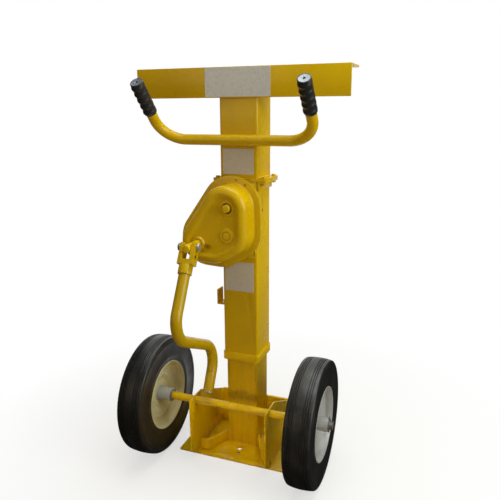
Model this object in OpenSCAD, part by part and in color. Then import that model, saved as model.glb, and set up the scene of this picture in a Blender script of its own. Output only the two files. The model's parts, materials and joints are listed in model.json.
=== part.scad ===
// Wheeled trailer stabilizing jack: a crank-driven telescoping leg on a base plate,
// with a bearing beam, a push handle and two transport wheels.
// +X is to the operator's right, the operator stands at -Y, +Z is up.
// The origin is on the ground under the centre of the leg.

/* [Leg] */
// Outside width of the outer leg tube
leg_w = 92; // [86:1:98]
// Wall of the outer leg tube
leg_wall = 4; // [3:0.5:5]
// Wall of the inner leg tube
inner_wall = 5; // [3:0.5:7]
// Gap on each side between the two leg tubes
slide_gap = 0.5; // [0.3:0.1:1]
// Outside corner radius of the square tubes
corner_r = 5.5; // [5:0.5:8]
// Height of the lower edge of the outer leg
leg_bottom = 249; // [235:1:260]
// Length of the outer leg tube
leg_l = 463; // [440:1:490]
// How far the mast can be raised
travel = 290; // [200:5:300]
// Gap between the screw's shoulder and the inner leg while the mast is down
stop_gap = 1.5; // [0.5:0.5:5]
// Height of the band around the lower end of the leg
collar_h = 21; // [12:1:30]
// Thickness of that band
collar_t = 3; // [2:0.5:4]

/* [Post and beam] */
// How far the post stands out past the leg on each side
post_step = 1.5; // [0.5:0.5:4]
// Wall of the post
post_wall = 4; // [3:0.5:6]
// Thickness of the plate under the post
foot_t = 6; // [4:1:10]
// How far that plate and the leg's ears stand out sideways
ear_reach = 20; // [18:1:30]
// Height of the ears' upright legs
ear_h = 22; // [18:1:40]
// Thickness of the ears
ear_t = 5; // [3:0.5:8]
// Distance of the joint's bolts from the leg's side face
bolt_out = 13; // [12.5:0.5:14]
// Distance of the joint's bolts from the leg's middle, along Y
bolt_y = 36; // [25:1:38]
// Shank diameter of the joint's bolts
bolt_d = 6; // [5:0.5:7]
// Width across the flats of their heads and nuts
bolt_flats = 10; // [9:0.5:11]
// Length of the post
post_l = 248; // [230:1:270]
// Length of the bearing beam
beam_l = 520; // [400:5:600]
// Height of the beam's upright leg
beam_h = 68; // [50:1:80]
// Depth of the beam's top leg
beam_d = 86; // [70:1:100]
// Thickness of the beam
beam_t = 5; // [4:0.5:8]

/* [Handlebar] */
// Outside diameter of the handle tube
bar_d = 25; // [22:1:28]
// Bore of the handle tube
bar_bore = 20; // [15:0.5:20]
// Distance from the beam's top down to the handle's straight run
bar_drop = 163; // [150:1:180]
// Distance from the middle to each horn
bar_half = 190; // [160:1:220]
// Bend radius of the handle tube at its middle
bar_bend = 62; // [40:1:70]
// Lean of the horns from level
horn_angle = 49; // [35:1:60]
// Distance from the bend's corner to the grip
grip_from = 83; // [76:1:95]
// Length of the rubber grip
grip_l = 84; // [70:1:110]
// Outside diameter of the rubber grip
grip_d = 30; // [30:1:35]
// Number of finger ridges under the grip
ridge_count = 5; // [3:1:6]
// How far the ridges stand out
ridge_out = 3; // [1:0.5:4]
// Width of the ridges
ridge_w = 7; // [5:0.5:9]
// Thickness of the cap at the grip's end
cap_t = 3; // [2:0.5:5]
// Length of the cap's plug inside the handle tube
plug_l = 14; // [8:1:20]
// Diameter of the hole in the cap
cap_hole = 4; // [3:0.5:6]

/* [Base] */
// Width of the base plate
plate_w = 298; // [270:1:320]
// Depth of the base plate
plate_d = 232; // [210:1:260]
// Thickness of the base plate
plate_t = 5; // [4:0.5:10]
// Diameter of the drain hole near the leg
drain_d = 14.5; // [12:0.5:18]
// Diameter of the smaller hole behind it
drain_small_d = 8.5; // [6:0.5:10]
// Distance of the drain hole behind the leg's middle
drain_y = 62; // [60:1:72]
// Distance between the two holes
drain_pitch = 21; // [16:1:30]
// How far the small drain hole lies to the right
drain_side = 5; // [-6:1:6]
// Distance between the inner faces of the side plates
cheek_gap = 196; // [180:1:204]
// Thickness of the side plates
cheek_t = 4; // [3:0.5:8]
// How far the side plates reach behind the leg's middle
cheek_back = 146; // [140:1:155]
// Height of the chamfer under their overhang
cheek_chamfer = 19; // [10:1:30]
// How far the side plates rise over the axle's middle
cheek_over = 13.5; // [12:0.5:25]
// Where their top edge starts to slope, behind the leg's middle
cheek_slope_y = 80; // [75:1:90]
// How far the side plates reach in front of the leg's middle
cheek_front = 112; // [100:1:114]
// Height of their front edge
cheek_front_h = 78; // [60:1:100]
// Distance of the front plate from the leg's middle
front_y = 58; // [50:1:70]
// Thickness of the front plate
front_t = 7; // [5:0.5:10]
// Height of the diagonal braces
brace_h = 30; // [20:1:50]
// Thickness of the diagonal braces
brace_t = 6; // [4:0.5:10]
// Where the braces meet the side plates, behind the leg's middle
brace_y = 98; // [80:1:100]
// How far the braces run straight from the side plates before they bend
brace_run = 14; // [8:1:20]
// Bend radius inside the braces' bend
brace_bend = 14; // [8:1:20]

/* [Wheels] */
// Outside diameter of the tyre
wheel_d = 305; // [280:1:320]
// Width of the tyre
tyre_w = 61.5; // [50:0.5:65]
// Gap between the tyres and the ground while the base plate stands
wheel_lift = 2; // [1:0.5:4]
// Distance between the tyres' middles
track = 415.5; // [410:0.5:440]
// Distance of the axle behind the leg's middle
axle_y = 112; // [110:1:115]
// Diameter of the axle
axle_d = 19; // [16:1:20]
// How far the axle reaches past each hub
axle_end = 10; // [10:0.5:14]
// Length of the hub tube
hub_l = 80; // [70:1:84]
// Outside diameter of the hub tube
hub_d = 34; // [32:1:38]
// Bore of the hub tube
hub_bore = 25; // [24:1:27]
// Length of each hub bush
bush_l = 24; // [15:1:30]
// Radius of the rim where the tyre sits
rim_seat = 84; // [80:1:90]
// Height of the rim's lip over that seat
rim_lip = 4.5; // [3:0.5:7]
// Thickness of the pressed rim
rim_t = 2.5; // [1.5:0.5:3]
// Distance of the rim's web from the wheel's middle plane
web_x = 9; // [6:0.5:12]
// Depth of the grooves in the tread
groove_depth = 2; // [1:0.5:4]
// Width of the grooves in the tread
groove_w = 1.6; // [1:0.2:2.4]
// Distance between the grooves
groove_pitch = 4.8; // [4:0.2:5.2]
// Distance of the first groove from the tyre's middle
groove_first = 11; // [8:0.5:13]
// Radius of the tyre's shoulders
shoulder_r = 7; // [5:0.5:12]
// Drop of the tread from the middle to the shoulders
crown = 2.5; // [1:0.5:5]
// Thickness of the washers on the axle
washer_t = 2.5; // [1.5:0.5:4]
// Outside diameter of the washers on the axle
washer_d = 30; // [27:1:34]
// Diameter of the cotter pins
cotter_d = 3; // [2:0.5:4]
// Length of the cotter pins
cotter_l = 34; // [28:1:40]

/* [Screw and bevel gears] */
// Distance of the screw from the leg's middle, to the operator's left
drive_off = 10; // [5:0.5:12]
// Diameter of the lead screw
screw_d = 28; // [24:1:32]
// How far the screw still reaches under its nut while the mast is up
screw_spare = 6; // [2:1:12]
// Height of the screw's nut
nut_h = 40; // [30:1:45]
// Diameter of the screw's upper spigot
spigot_d = 20; // [16:1:22]
// Outside diameter of the screw's shoulder
shoulder_d = 40; // [36:1:46]
// Thickness of the screw's shoulder
shoulder_t = 8; // [6:0.5:8]
// Thickness of the thrust bearing
thrust_t = 12; // [8:0.5:12.5]
// Outside diameter of the thrust bearing
thrust_d = 50; // [42:1:56]
// Thickness of the plate over the thrust bearing
bearing_plate_t = 8; // [6:0.5:8]
// Module of the bevel gears
bevel_module = 2; // [1.8:0.1:2]
// Teeth of the bevel gear on the screw
bevel_gear_teeth = 24; // [22:1:26]
// Teeth of the bevel pinion
bevel_pinion_teeth = 16; // [15:1:17]
// Length of the bevel teeth along the cone
bevel_face = 8; // [6:0.5:10]
// Distance of the output shaft under the joint between leg and post
drive_drop = 58; // [50:1:60]

/* [Gearbox] */
// Module of the spur gears
gear_module = 2; // [1.8:0.1:2]
// Teeth of the output gear
output_teeth = 40; // [36:1:42]
// Teeth of the idler's pinion
idler_pinion_teeth = 26; // [24:1:30]
// Teeth of the idler's gear
idler_teeth = 43; // [38:1:45]
// Teeth of the input pinion
input_teeth = 34; // [30:1:36]
// Direction from the output shaft to the idler
idler_angle = -91.7; // [-100:0.1:-85]
// Direction from the idler to the input shaft
input_angle = 196.6; // [185:0.1:205]
// Width of the output gear and the idler's pinion
gear_face = 10; // [6:0.5:11]
// Width of the idler's gear and the input pinion
slide_face = 8; // [6:0.5:9]
// Diameter of the output shaft
output_d = 19; // [16:0.5:20]
// Diameter of the idler's pin
idler_d = 19; // [14:0.5:20]
// Diameter of the input shaft
input_d = 18; // [15:0.5:18.5]
// Wall of the shaft bushes
bush_wall = 3.5; // [2:0.5:4]
// Thickness of the gearbox's back plate
back_t = 5; // [4:0.5:8]
// Thickness of the cover's flange
flange_t = 4; // [3:0.5:6]
// Width of the cover's flange
flange_w = 18; // [12:0.5:22]
// Depth of the cover's dome in front of its flange
dome_depth = 50; // [50:0.5:60]
// Wall of the cover
cover_wall = 3.5; // [2.5:0.5:5]
// Rounding of the dome's outer edge
dome_edge = 11; // [8:0.5:20]
// Depth of the dome's sunk middle
dome_sink = 7; // [4:0.5:7]
// Width of the dome's raised rim
dome_rim = 17; // [16:0.5:24]
// Room between the gears and the cover
gear_room = 1.5; // [1:0.5:3]

/* [Crank] */
// Distance of the fork's bolt behind the leg's middle
crank_y = 145; // [140:1:155]
// Length of the input shaft past the fork's bolt
shaft_past = 22; // [16:0.5:24]
// Sideways lean of the hanging crank towards the leg
crank_tilt = 3; // [1:0.5:4]
// Lean of the hanging crank's shank out to the operator
crank_lean = 33; // [28:0.5:36]
// Width of the crank's fork
fork_w = 39; // [36:1:46]
// Depth of the crank's fork
fork_d = 24; // [20:1:30]
// Distance from the bolt to the fork's upper end
fork_up = 8.5; // [8:0.5:14]
// Distance from the bolt to the fork's lower end
fork_down = 44; // [42:1:52]
// Thickness of the fork's bridge
fork_bridge = 12; // [8:1:14]
// Diameter of the fork's bolt
fork_bolt_d = 10; // [8:0.5:10]
// Width across the flats of the fork's bolt and nut
fork_bolt_flats = 17; // [15:0.5:19]
// Diameter of the cross hole under the bolt
lock_hole_d = 8.5; // [6:0.5:9]
// Distance from the bolt to the cross hole
lock_hole_down = 23.5; // [20:0.5:26]
// Outside diameter of the ferrule under the fork
ferrule_d = 33; // [30:1:38]
// Length of the ferrule
ferrule_l = 22.5; // [18:0.5:30]
// Outside diameter of the crank tube
crank_d = 27; // [22:1:28]
// Bend radius of the crank tube at its middle
crank_bend = 53; // [46:1:58]
// Distance from the bolt to the crank's first corner
crank_arm = 218.5; // [210:0.5:230]
// Length between the crank's two corners
crank_throw = 242; // [225:1:250]
// Rise of the crank's middle run back towards the fork
crank_rise = 7.5; // [4:0.5:9]
// Distance from the crank's second bend to the grip sleeve
sleeve_after = 7; // [4:0.5:12]
// Gap between the axle and the crank's end as it folds out
hang_gap = 5; // [5:0.5:12]
// Wall of the grip sleeve
sleeve_wall = 3.5; // [2.5:0.5:5]
// Thickness of the washer that holds the sleeve
sleeve_washer_t = 4; // [2:0.5:6]

/* [Crank hook] */
// Width of the hook's flat bar
hook_w = 30; // [20:1:40]
// Thickness of the hook's flat bar
hook_t = 4.5; // [3:0.5:6]
// Gap between the hook and the leg
hook_gap = 27; // [26.5:0.5:32]
// Distance of the hook's lower face over the lower edge of the leg
hook_up = 135; // [100:1:170]
// Height of the hook
hook_h = 40; // [30:1:60]

/* [Clearances] */
// Radial clearance of shafts that turn
run_gap = 0.06; // [0.03:0.01:0.1]
// Radial clearance of pieces that are pressed or welded in
seat_gap = 0.02; // [0.01:0.01:0.05]
// Axial gap between pieces that turn past each other
face_gap = 0.3; // [0.2:0.1:0.6]
// Radial clearance of bolts in their holes
bolt_gap = 0.3; // [0.1:0.1:0.5]

/* [Hidden] */
$fn = 64;
eps = 0.01;
lap = 0.5;
min_corner = 0.5;

// Colours
enamel = [0.88, 0.70, 0.08];
rubber = [0.08, 0.08, 0.09];
cream = [0.86, 0.84, 0.76];
zinc = [0.75, 0.76, 0.77];
steel = [0.55, 0.55, 0.56];
bronze = [0.66, 0.50, 0.28];

// Leg and post
leg_top = leg_bottom + leg_l;
beam_top = leg_top + foot_t + post_l + beam_t;
bar_z = beam_top - bar_drop;
hook_z = leg_bottom + hook_up;
drive_z = leg_top - drive_drop;
inner_w = leg_w - 2 * leg_wall - 2 * slide_gap;
post_w = leg_w + 2 * post_step;
leg_face = leg_w / 2;
post_face = post_w / 2;
foot_top = leg_top + foot_t;
foot_half = leg_face + ear_reach;
bolt_x = leg_face + bolt_out;
bolt_head = 0.7 * bolt_d;
bolt_nut = 0.8 * bolt_d;

// Axle and wheels
axle_z = wheel_d / 2 + wheel_lift;
axle_r = axle_d / 2;
cheek_h = axle_z + cheek_over;
brace_centre = [brace_run - cheek_gap / 2, brace_bend + brace_t - brace_y];
brace_reach = [-inner_w / 2, corner_r - inner_w / 2] - brace_centre;
brace_turn = atan2(brace_reach[1], brace_reach[0]) + asin((brace_bend + brace_t) / norm(brace_reach));
front_h = cheek_h - (cheek_slope_y + front_y) * (cheek_h - cheek_front_h) / (cheek_slope_y + cheek_front);
wheel_x = track / 2;
hub_end = wheel_x + hub_l / 2;
hub_start = wheel_x - hub_l / 2;
axle_half = hub_end + axle_end;
cotter_x = hub_end + 2 * face_gap + washer_t + cotter_d / 2;

// Screw and bevel gears: the cone's tip is where the two shafts cross
bevel_gear_r = bevel_module * bevel_gear_teeth / 2;
bevel_pinion_r = bevel_module * bevel_pinion_teeth / 2;
bevel_cone = norm([bevel_gear_r, bevel_pinion_r]);
bevel_scale = (bevel_cone - bevel_face) / bevel_cone;
bevel_z = drive_z - bevel_pinion_r;
bevel_gear_h = bevel_pinion_r * (1 - bevel_scale);
bevel_pinion_h = bevel_gear_r * (1 - bevel_scale);
bevel_hub_h = 4;
bevel_rim_h = 5.5;
plate_top = bevel_z - bevel_rim_h - bevel_hub_h - face_gap;
thrust_top = plate_top - bearing_plate_t;
shoulder_top = thrust_top - thrust_t - face_gap;
inner_top = shoulder_top - shoulder_t - stop_gap;
screw_bottom = inner_top - nut_h - travel - screw_spare;
spigot_r = spigot_d / 2;
lock_z = bevel_z + bevel_gear_h;
lock_nut_h = 7;

// Gear train, seen from the operator's side
drive = [-drive_off, drive_z];
idler = drive + gear_module * (output_teeth + idler_pinion_teeth) / 2
  * [cos(idler_angle), sin(idler_angle)];
input = idler + gear_module * (idler_teeth + input_teeth) / 2
  * [cos(input_angle), sin(input_angle)];
addendum = 0.9;
dedendum = 1.25;
tooth_fill = 0.42;
flank = tan(20);
back_y = post_face + back_t;
flange_y = back_y + flange_t;
dome_y = flange_y + dome_depth;
sunk_y = dome_y - dome_sink;
cavity_y = sunk_y - cover_wall;
gear_y = back_y + 7;
step_y = gear_y + gear_face;
slide_y = step_y + 3;
input_y = slide_y + slide_face + 3.5;
tip_room = gear_module * addendum + gear_room + cover_wall;
pad_down = 64;
output_boss_h = 3;
idler_boss_h = 4;
input_boss_h = 5;

// The cover's plan is drawn around these circles: centre and radius
function lobe(centre, shift, teeth) =
  [centre[0] + shift[0], centre[1] + shift[1], gear_module * teeth / 2 + tip_room + norm(shift) + 1.3];
lobes = [
  lobe(drive, [-8, -4], output_teeth),
  lobe(idler, [-2, 2], idler_teeth),
  lobe(input, [6, 4], idler_teeth - 6),
  lobe((idler + input) / 2, [0, -5], idler_teeth)
];

// Crank
pivot = [input[0], -crank_y, input[1]];
slot_w = input_d + 2;
crank_r = crank_d / 2;
sleeve_bore = crank_r - sleeve_wall;
turn = 90 + crank_rise;
bend_run = crank_bend * tan(turn / 2);
corner2 = [crank_throw * cos(crank_rise), crank_throw * sin(crank_rise) - crank_arm];
sleeve_from = bend_run - corner2[1] + sleeve_after;
fold_room = norm([crank_y - axle_y, input[1] - axle_z]) - axle_r - hang_gap;
crank_end = sqrt(fold_room * fold_room - pow(corner2[0] + crank_r, 2));

// Square with round corners
module rounded_square(w, r) {
  square([w, w - 2 * r], center = true);
  square([w - 2 * r, w], center = true);
  for (x = [-1, 1], y = [-1, 1])
    translate([x * (w / 2 - r), y * (w / 2 - r)]) circle(r = r);
}

// Square tube between two heights
module box_tube(w, wall, r, low, high) {
  translate([0, 0, low]) linear_extrude(high - low) difference() {
    rounded_square(w, r);
    rounded_square(w - 2 * wall, max(r - wall, min_corner));
  }
}

// Box between two opposite corners
module block(low, high) {
  translate(low) cube(high - low);
}

// Round bar along X, between two places
module bar_x(r, from, to) {
  translate([from, 0, 0]) rotate([0, 90, 0]) cylinder(r = r, h = to - from);
}

// Round bar along -Y, between two distances behind the leg's middle
module bar_y(r, from, to) {
  translate([0, -from, 0]) rotate([90, 0, 0]) cylinder(r = r, h = to - from);
}

// A drawing seen from the operator's side, made thick between two distances behind the leg's middle
module thick_y(from, to) {
  translate([0, -from, 0]) rotate([90, 0, 0]) linear_extrude(to - from) children();
}

// A place on the gearbox's face
module at(place) {
  translate([place[0], 0, place[1]]) children();
}

module hex(flats, h) {
  cylinder(d = flats / cos(30), h = h, $fn = 6);
}

module mirrored() {
  children();
  mirror([1, 0, 0]) children();
}

// Gear outline: each tooth goes through root, pitch and tip circles
function tooth(m, teeth, add, ded, fill, slope) =
  [for (p = [[-ded, -1], [0, -1], [add, -1], [add, 1], [0, 1], [-ded, 1]])
    [m * (teeth / 2 + p[0]), p[1] * m * (fill * PI / 2 - p[0] * slope)]];

module gear_2d(m, teeth, phase, add = addendum, ded = dedendum, fill = tooth_fill, slope = flank) {
  polygon([for (i = [0 : teeth - 1], t = tooth(m, teeth, add, ded, fill, slope))
    let (a = phase + 360 * i / teeth + t[1] / t[0] * 180 / PI) t[0] * [cos(a), sin(a)]]);
}

// Base

module base_plate() color(enamel) difference() {
  block([-plate_w / 2, -plate_d / 2, 0], [plate_w / 2, plate_d / 2, plate_t]);
  translate([0, -drain_y, -eps]) cylinder(d = drain_d, h = plate_t + 2 * eps);
  translate([drain_side, -drain_y - drain_pitch, -eps]) cylinder(d = drain_small_d, h = plate_t + 2 * eps);
}

module side_plate() color(enamel) difference() {
  translate([-cheek_gap / 2, 0, 0]) rotate([90, 0, -90]) linear_extrude(cheek_t) polygon([
    [plate_d / 2, plate_t],
    [cheek_back, plate_t + cheek_chamfer],
    [cheek_back, cheek_h],
    [cheek_slope_y, cheek_h],
    [-cheek_front, cheek_front_h],
    [-cheek_front, plate_t]
  ]);
  translate([0, -axle_y, axle_z]) bar_x(axle_r + seat_gap, -plate_w, 0);
}

module left_side_plate() side_plate();

module right_side_plate() mirror([1, 0, 0]) side_plate();

module front_plate() color(enamel)
  block([-cheek_gap / 2, front_y, plate_t], [cheek_gap / 2, front_y + front_t, front_h]);

// Flat bar that bends from the side plate's inner face to the side of the inner leg
module brace_edge(r) hull() for (p = [[-1, 0], [0, 0], [cos(brace_turn), sin(brace_turn)]])
  translate(brace_centre + plate_w * p) circle(r = r);

module brace() color(enamel) translate([0, 0, plate_t]) linear_extrude(brace_h) difference() {
  brace_edge(brace_bend + brace_t);
  brace_edge(brace_bend);
  translate([-3 * plate_w - cheek_gap / 2, -plate_d]) square([3 * plate_w, 3 * plate_w]);
  translate([-inner_w / 2, -inner_w / 2]) square(3 * plate_w);
  translate([-plate_w, 0]) square(3 * plate_w);
}

module left_brace() brace();

module right_brace() mirror([1, 0, 0]) brace();

module inner_leg() color(enamel) box_tube(inner_w, inner_wall, corner_r, plate_t, inner_top);

module screw_nut() color(bronze) translate([0, 0, inner_top - nut_h]) difference() {
  linear_extrude(nut_h)
    rounded_square(inner_w - 2 * inner_wall, max(corner_r - inner_wall, min_corner));
  translate([-drive_off, 0, -eps]) cylinder(d = screw_d + 2 * run_gap, h = nut_h + 2 * eps);
}

// Axle and wheels

module axle() color(enamel) translate([0, -axle_y, axle_z]) difference() {
  bar_x(axle_r, -axle_half, axle_half);
  for (s = [-1, 1]) translate([s * cotter_x, 0, -axle_d]) cylinder(d = cotter_d, h = 2 * axle_d);
}

module axle_washer(from) translate([0, -axle_y, axle_z]) difference() {
  bar_x(washer_d / 2, from, from + washer_t);
  bar_x(axle_r + seat_gap, from - eps, from + washer_t + eps);
}

module axle_washers() color(zinc) mirrored() {
  axle_washer(hub_end + face_gap);
  axle_washer(hub_start - face_gap - washer_t);
}

// Split pin with an eye on top
module cotter_pins() color(steel) mirrored() translate([cotter_x, -axle_y, axle_z]) {
  translate([0, 0, -cotter_l / 2]) cylinder(d = cotter_d, h = cotter_l);
  translate([0, 0, cotter_l / 2 + cotter_d / 2]) rotate([0, 90, 0])
    rotate_extrude() translate([cotter_d, 0]) circle(d = cotter_d);
}

// A wheel's outline, radius against place along the axle, turned about the axle
module about_axle(side) {
  translate([side * wheel_x, -axle_y, axle_z]) rotate([0, 90, 0]) children();
}

// Half of the tyre's outline, from the tread's middle to the seat
function tyre_edge() = let (r = wheel_d / 2, half = tyre_w / 2, lip = rim_seat + rim_lip) concat(
  [[r - crown, half - shoulder_r], for (a = [75 : -15 : 0])
    [r - crown - shoulder_r + shoulder_r * sin(a), half - shoulder_r + shoulder_r * cos(a)]],
  [[lip + 8, half], [lip + seat_gap, half - 1.5], [lip + seat_gap, half - 2 - rim_t],
   [rim_seat + seat_gap, half - 2 - rim_t - rim_lip]]
);

module tyre(side) color(rubber) about_axle(side) difference() {
  rotate_extrude($fn = 128) polygon(concat(
    [[wheel_d / 2, 0]], tyre_edge(),
    [for (i = [len(tyre_edge()) - 1 : -1 : 0]) [tyre_edge()[i][0], -tyre_edge()[i][1]]]
  ));
  for (s = [-1, 1], i = [0 : 2]) rotate_extrude($fn = 128)
    translate([wheel_d / 2 - crown - groove_depth, s * (groove_first + i * groove_pitch) - groove_w / 2])
    square([groove_depth + crown + 1, groove_w]);
}

// Two pressed discs back to back
module rim(side) color(cream) about_axle(side) for (m = [0, 1]) mirror([0, 0, m]) rotate_extrude($fn = 96)
  let (half = tyre_w / 2, hub_r = hub_d / 2 + seat_gap, lip = rim_seat + rim_lip) polygon([
    [hub_r, 0], [hub_r, rim_t], [hub_r + 20, rim_t], [hub_r + 32, web_x], [rim_seat - 10, web_x],
    [rim_seat - rim_t - 1.5, web_x + 4], [rim_seat - rim_t, half - 2 - rim_t - rim_lip],
    [lip - rim_t, half - 0.3], [lip, half - 0.3], [lip, half - 2 - rim_t],
    [rim_seat, half - 2 - rim_t - rim_lip], [rim_seat, web_x + 2],
    [rim_seat - 8, web_x - rim_t], [hub_r + 33, web_x - rim_t], [hub_r + 21, 0]
  ]);

module hub(side) color(cream) about_axle(side) difference() {
  cylinder(d = hub_d, h = hub_l, center = true);
  cylinder(d = hub_bore, h = hub_l + 2 * eps, center = true);
}

module hub_bushes(side) color(bronze) about_axle(side) for (m = [0, 1]) mirror([0, 0, m])
  translate([0, 0, hub_l / 2 - bush_l]) difference() {
    cylinder(d = hub_bore - 2 * seat_gap, h = bush_l);
    translate([0, 0, -eps]) cylinder(d = axle_d + 2 * run_gap, h = bush_l + 2 * eps);
  }

module left_tyre() tyre(-1);
module left_rim() rim(-1);
module left_hub() hub(-1);
module left_bushes() hub_bushes(-1);
module right_tyre() tyre(1);
module right_rim() rim(1);
module right_hub() hub(1);
module right_bushes() hub_bushes(1);

// Outer leg, post and beam

module outer_leg() color(enamel) difference() {
  box_tube(leg_w, leg_wall, corner_r, leg_bottom, leg_top);
  at(drive) bar_y(output_d / 2 + bush_wall + seat_gap, leg_face - leg_wall - 1, leg_face + 1);
}

module leg_collar() color(enamel)
  box_tube(leg_w + 2 * collar_t, collar_t, corner_r + collar_t, leg_bottom, leg_bottom + collar_h);

module ear_holes() {
  for (x = [-1, 1], y = [-1, 1])
    translate([x * bolt_x, y * bolt_y, leg_top - ear_h]) cylinder(d = bolt_d + 2 * bolt_gap, h = 2 * ear_h);
}

module leg_ears() color(enamel) difference() {
  mirrored() {
    block([leg_face, -leg_face, leg_top - ear_t], [foot_half, leg_face, leg_top]);
    block([leg_face, -leg_face, leg_top - ear_h], [leg_face + ear_t, leg_face, leg_top - ear_t + eps]);
  }
  ear_holes();
}

module post_foot() color(enamel) difference() {
  block([-foot_half, -post_face, leg_top], [foot_half, post_face, foot_top]);
  ear_holes();
}

module post() color(enamel)
  box_tube(post_w, post_wall, corner_r, foot_top, beam_top - beam_t);

module bearing_beam() color(enamel) {
  block([-beam_l / 2, -post_face - beam_t, beam_top - beam_h], [beam_l / 2, -post_face, beam_top]);
  block([-beam_l / 2, -post_face - eps, beam_top - beam_t],
    [beam_l / 2, beam_d - post_face - beam_t, beam_top]);
}

module flange_bolts() color(zinc) for (x = [-1, 1], y = [-1, 1]) translate([x * bolt_x, y * bolt_y, 0]) {
  translate([0, 0, foot_top]) hex(bolt_flats, bolt_head);
  translate([0, 0, leg_top - ear_t - bolt_nut - 1])
    cylinder(d = bolt_d, h = ear_t + bolt_nut + foot_t + 1 + eps);
}

module flange_nuts() color(zinc) for (x = [-1, 1], y = [-1, 1])
  translate([x * bolt_x, y * bolt_y, leg_top - ear_t - bolt_nut]) difference() {
    hex(bolt_flats, bolt_nut);
    translate([0, 0, -eps]) cylinder(d = bolt_d + 2 * seat_gap, h = bolt_nut + 2 * eps);
  }

// Handlebar: a straight run, a round bend at each end and two leaning horns

module in_horn_plane() {
  translate([0, -post_face - bar_d / 2, bar_z]) rotate([90 - horn_angle, 0, 0]) children();
}

module bent_bar(r, reach) in_horn_plane() {
  bar_x(r, bar_bend - bar_half, bar_half - bar_bend);
  mirrored() translate([bar_half, 0, 0]) {
    translate([-bar_bend, 0, bar_bend]) rotate([90, 0, 0]) rotate([0, 0, -90])
      rotate_extrude(angle = 90) translate([bar_bend, 0]) circle(r = r);
    translate([0, 0, bar_bend]) cylinder(r = r, h = reach - bar_bend);
  }
}

module on_horn(side, from) {
  in_horn_plane() translate([side * bar_half, 0, from]) children();
}

module handlebar() color(enamel) difference() {
  bent_bar(bar_d / 2, grip_from + grip_l);
  bent_bar(bar_bore / 2, grip_from + grip_l + 1);
}

module grip(side) color(rubber) on_horn(side, grip_from) difference() {
  union() {
    cylinder(d = grip_d, h = grip_l);
    for (i = [1 : ridge_count])
      translate([0, -0.4 * ridge_out, (i - 0.5) * grip_l / ridge_count - ridge_w / 2])
      cylinder(d = grip_d + 1.2 * ridge_out, h = ridge_w);
  }
  translate([0, 0, -eps]) cylinder(d = bar_d + 2 * seat_gap, h = grip_l + 2 * eps);
}

module grip_cap(side) color(zinc) on_horn(side, grip_from + grip_l) difference() {
  union() {
    cylinder(d = grip_d, h = cap_t);
    translate([0, 0, -plug_l]) cylinder(d = bar_bore - 2 * seat_gap, h = plug_l + eps);
  }
  translate([0, 0, -plug_l - eps]) cylinder(d = cap_hole, h = plug_l + cap_t + 2 * eps);
}

module left_grip() grip(-1);
module right_grip() grip(1);
module left_grip_cap() grip_cap(-1);
module right_grip_cap() grip_cap(1);

// Flat bar bent into a hook on the leg's left side
module crank_hook() color(enamel) {
  block([-leg_face - hook_gap - hook_t, -hook_w / 2, hook_z], [-leg_face, hook_w / 2, hook_z + hook_t]);
  block([-leg_face - hook_gap - hook_t, -hook_w / 2, hook_z],
    [-leg_face - hook_gap, hook_w / 2, hook_z + hook_h]);
}

// Gearbox

module plan(grow) {
  hull() for (l = lobes) translate([l[0], l[1]]) circle(r = l[2] + grow);
}

module gearbox_back() color(enamel) difference() {
  union() {
    thick_y(post_face, back_y) plan(flange_w);
    block([corner_r - leg_face, -post_face - eps, idler[1] - pad_down],
      [leg_face - corner_r, -leg_face, leg_top - ear_t]);
  }
  at(drive) bar_y(output_d / 2 + bush_wall + seat_gap, leg_face - 1, back_y + 1);
  at(idler) bar_y(idler_d / 2 + seat_gap, leg_face - 1, back_y + 1);
  at(input) bar_y(input_d / 2 + bush_wall + seat_gap, leg_face - 1, back_y + 1);
}

// Solid of the dome: round edged, shrunk by a wall and reaching a distance behind the leg's middle
module dome(wall, reach, edge) {
  hull() for (l = lobes) at(l) {
    bar_y(l[2] - wall, flange_y - flange_t, reach - edge);
    for (a = [18 : 18 : 90])
      bar_y(l[2] - wall - edge * (1 - cos(a)), reach - edge, reach - edge * (1 - sin(a)));
  }
}

module gearbox_cover() color(enamel) difference() {
  union() {
    difference() {
      union() {
        thick_y(back_y, flange_y) plan(flange_w);
        dome(0, dome_y, dome_edge);
      }
      hull() {
        thick_y(sunk_y, sunk_y + eps) plan(-dome_rim - dome_sink);
        thick_y(dome_y, dome_y + eps) plan(-dome_rim);
      }
    }
    at(drive) bar_y(output_d / 2 + bush_wall + 4, sunk_y - eps, sunk_y + output_boss_h);
    at(idler) bar_y(idler_d / 2 + 7.5, sunk_y - eps, sunk_y + idler_boss_h);
    at(input) translate([0, -sunk_y + eps, 0]) rotate([90, 0, 0])
      cylinder(r1 = input_d / 2 + 9, r2 = input_d / 2 + bush_wall + 2, h = input_boss_h);
  }
  dome(cover_wall, cavity_y, dome_edge - cover_wall);
  at(drive) bar_y(output_d / 2 + bush_wall + seat_gap, cavity_y - 1, dome_y);
  at(idler) bar_y(idler_d / 2 + seat_gap, cavity_y - 1, dome_y);
  at(input) bar_y(input_d / 2 + bush_wall + seat_gap, cavity_y - 1, dome_y + input_boss_h);
}

module shaft_bush(place, d, from, to) at(place) difference() {
  bar_y(d / 2 + bush_wall, from, to);
  bar_y(d / 2 + run_gap, from - eps, to + eps);
}

module shaft_bushes() color(bronze) {
  shaft_bush(drive, output_d, leg_face - leg_wall, back_y + 2);
  shaft_bush(drive, output_d, cavity_y, sunk_y);
  shaft_bush(input, input_d, post_face, back_y + 4);
  shaft_bush(input, input_d, cavity_y, sunk_y + 4);
}

module idler_pin() color(enamel) at(idler) bar_y(idler_d / 2, post_face, sunk_y + idler_boss_h);

module bearing_plate() color(steel) translate([0, 0, thrust_top]) difference() {
  linear_extrude(bearing_plate_t) rounded_square(leg_w - 2 * leg_wall, max(corner_r - leg_wall, min_corner));
  translate([-drive_off, 0, -eps]) cylinder(r = spigot_r + run_gap, h = bearing_plate_t + 2 * eps);
}

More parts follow.
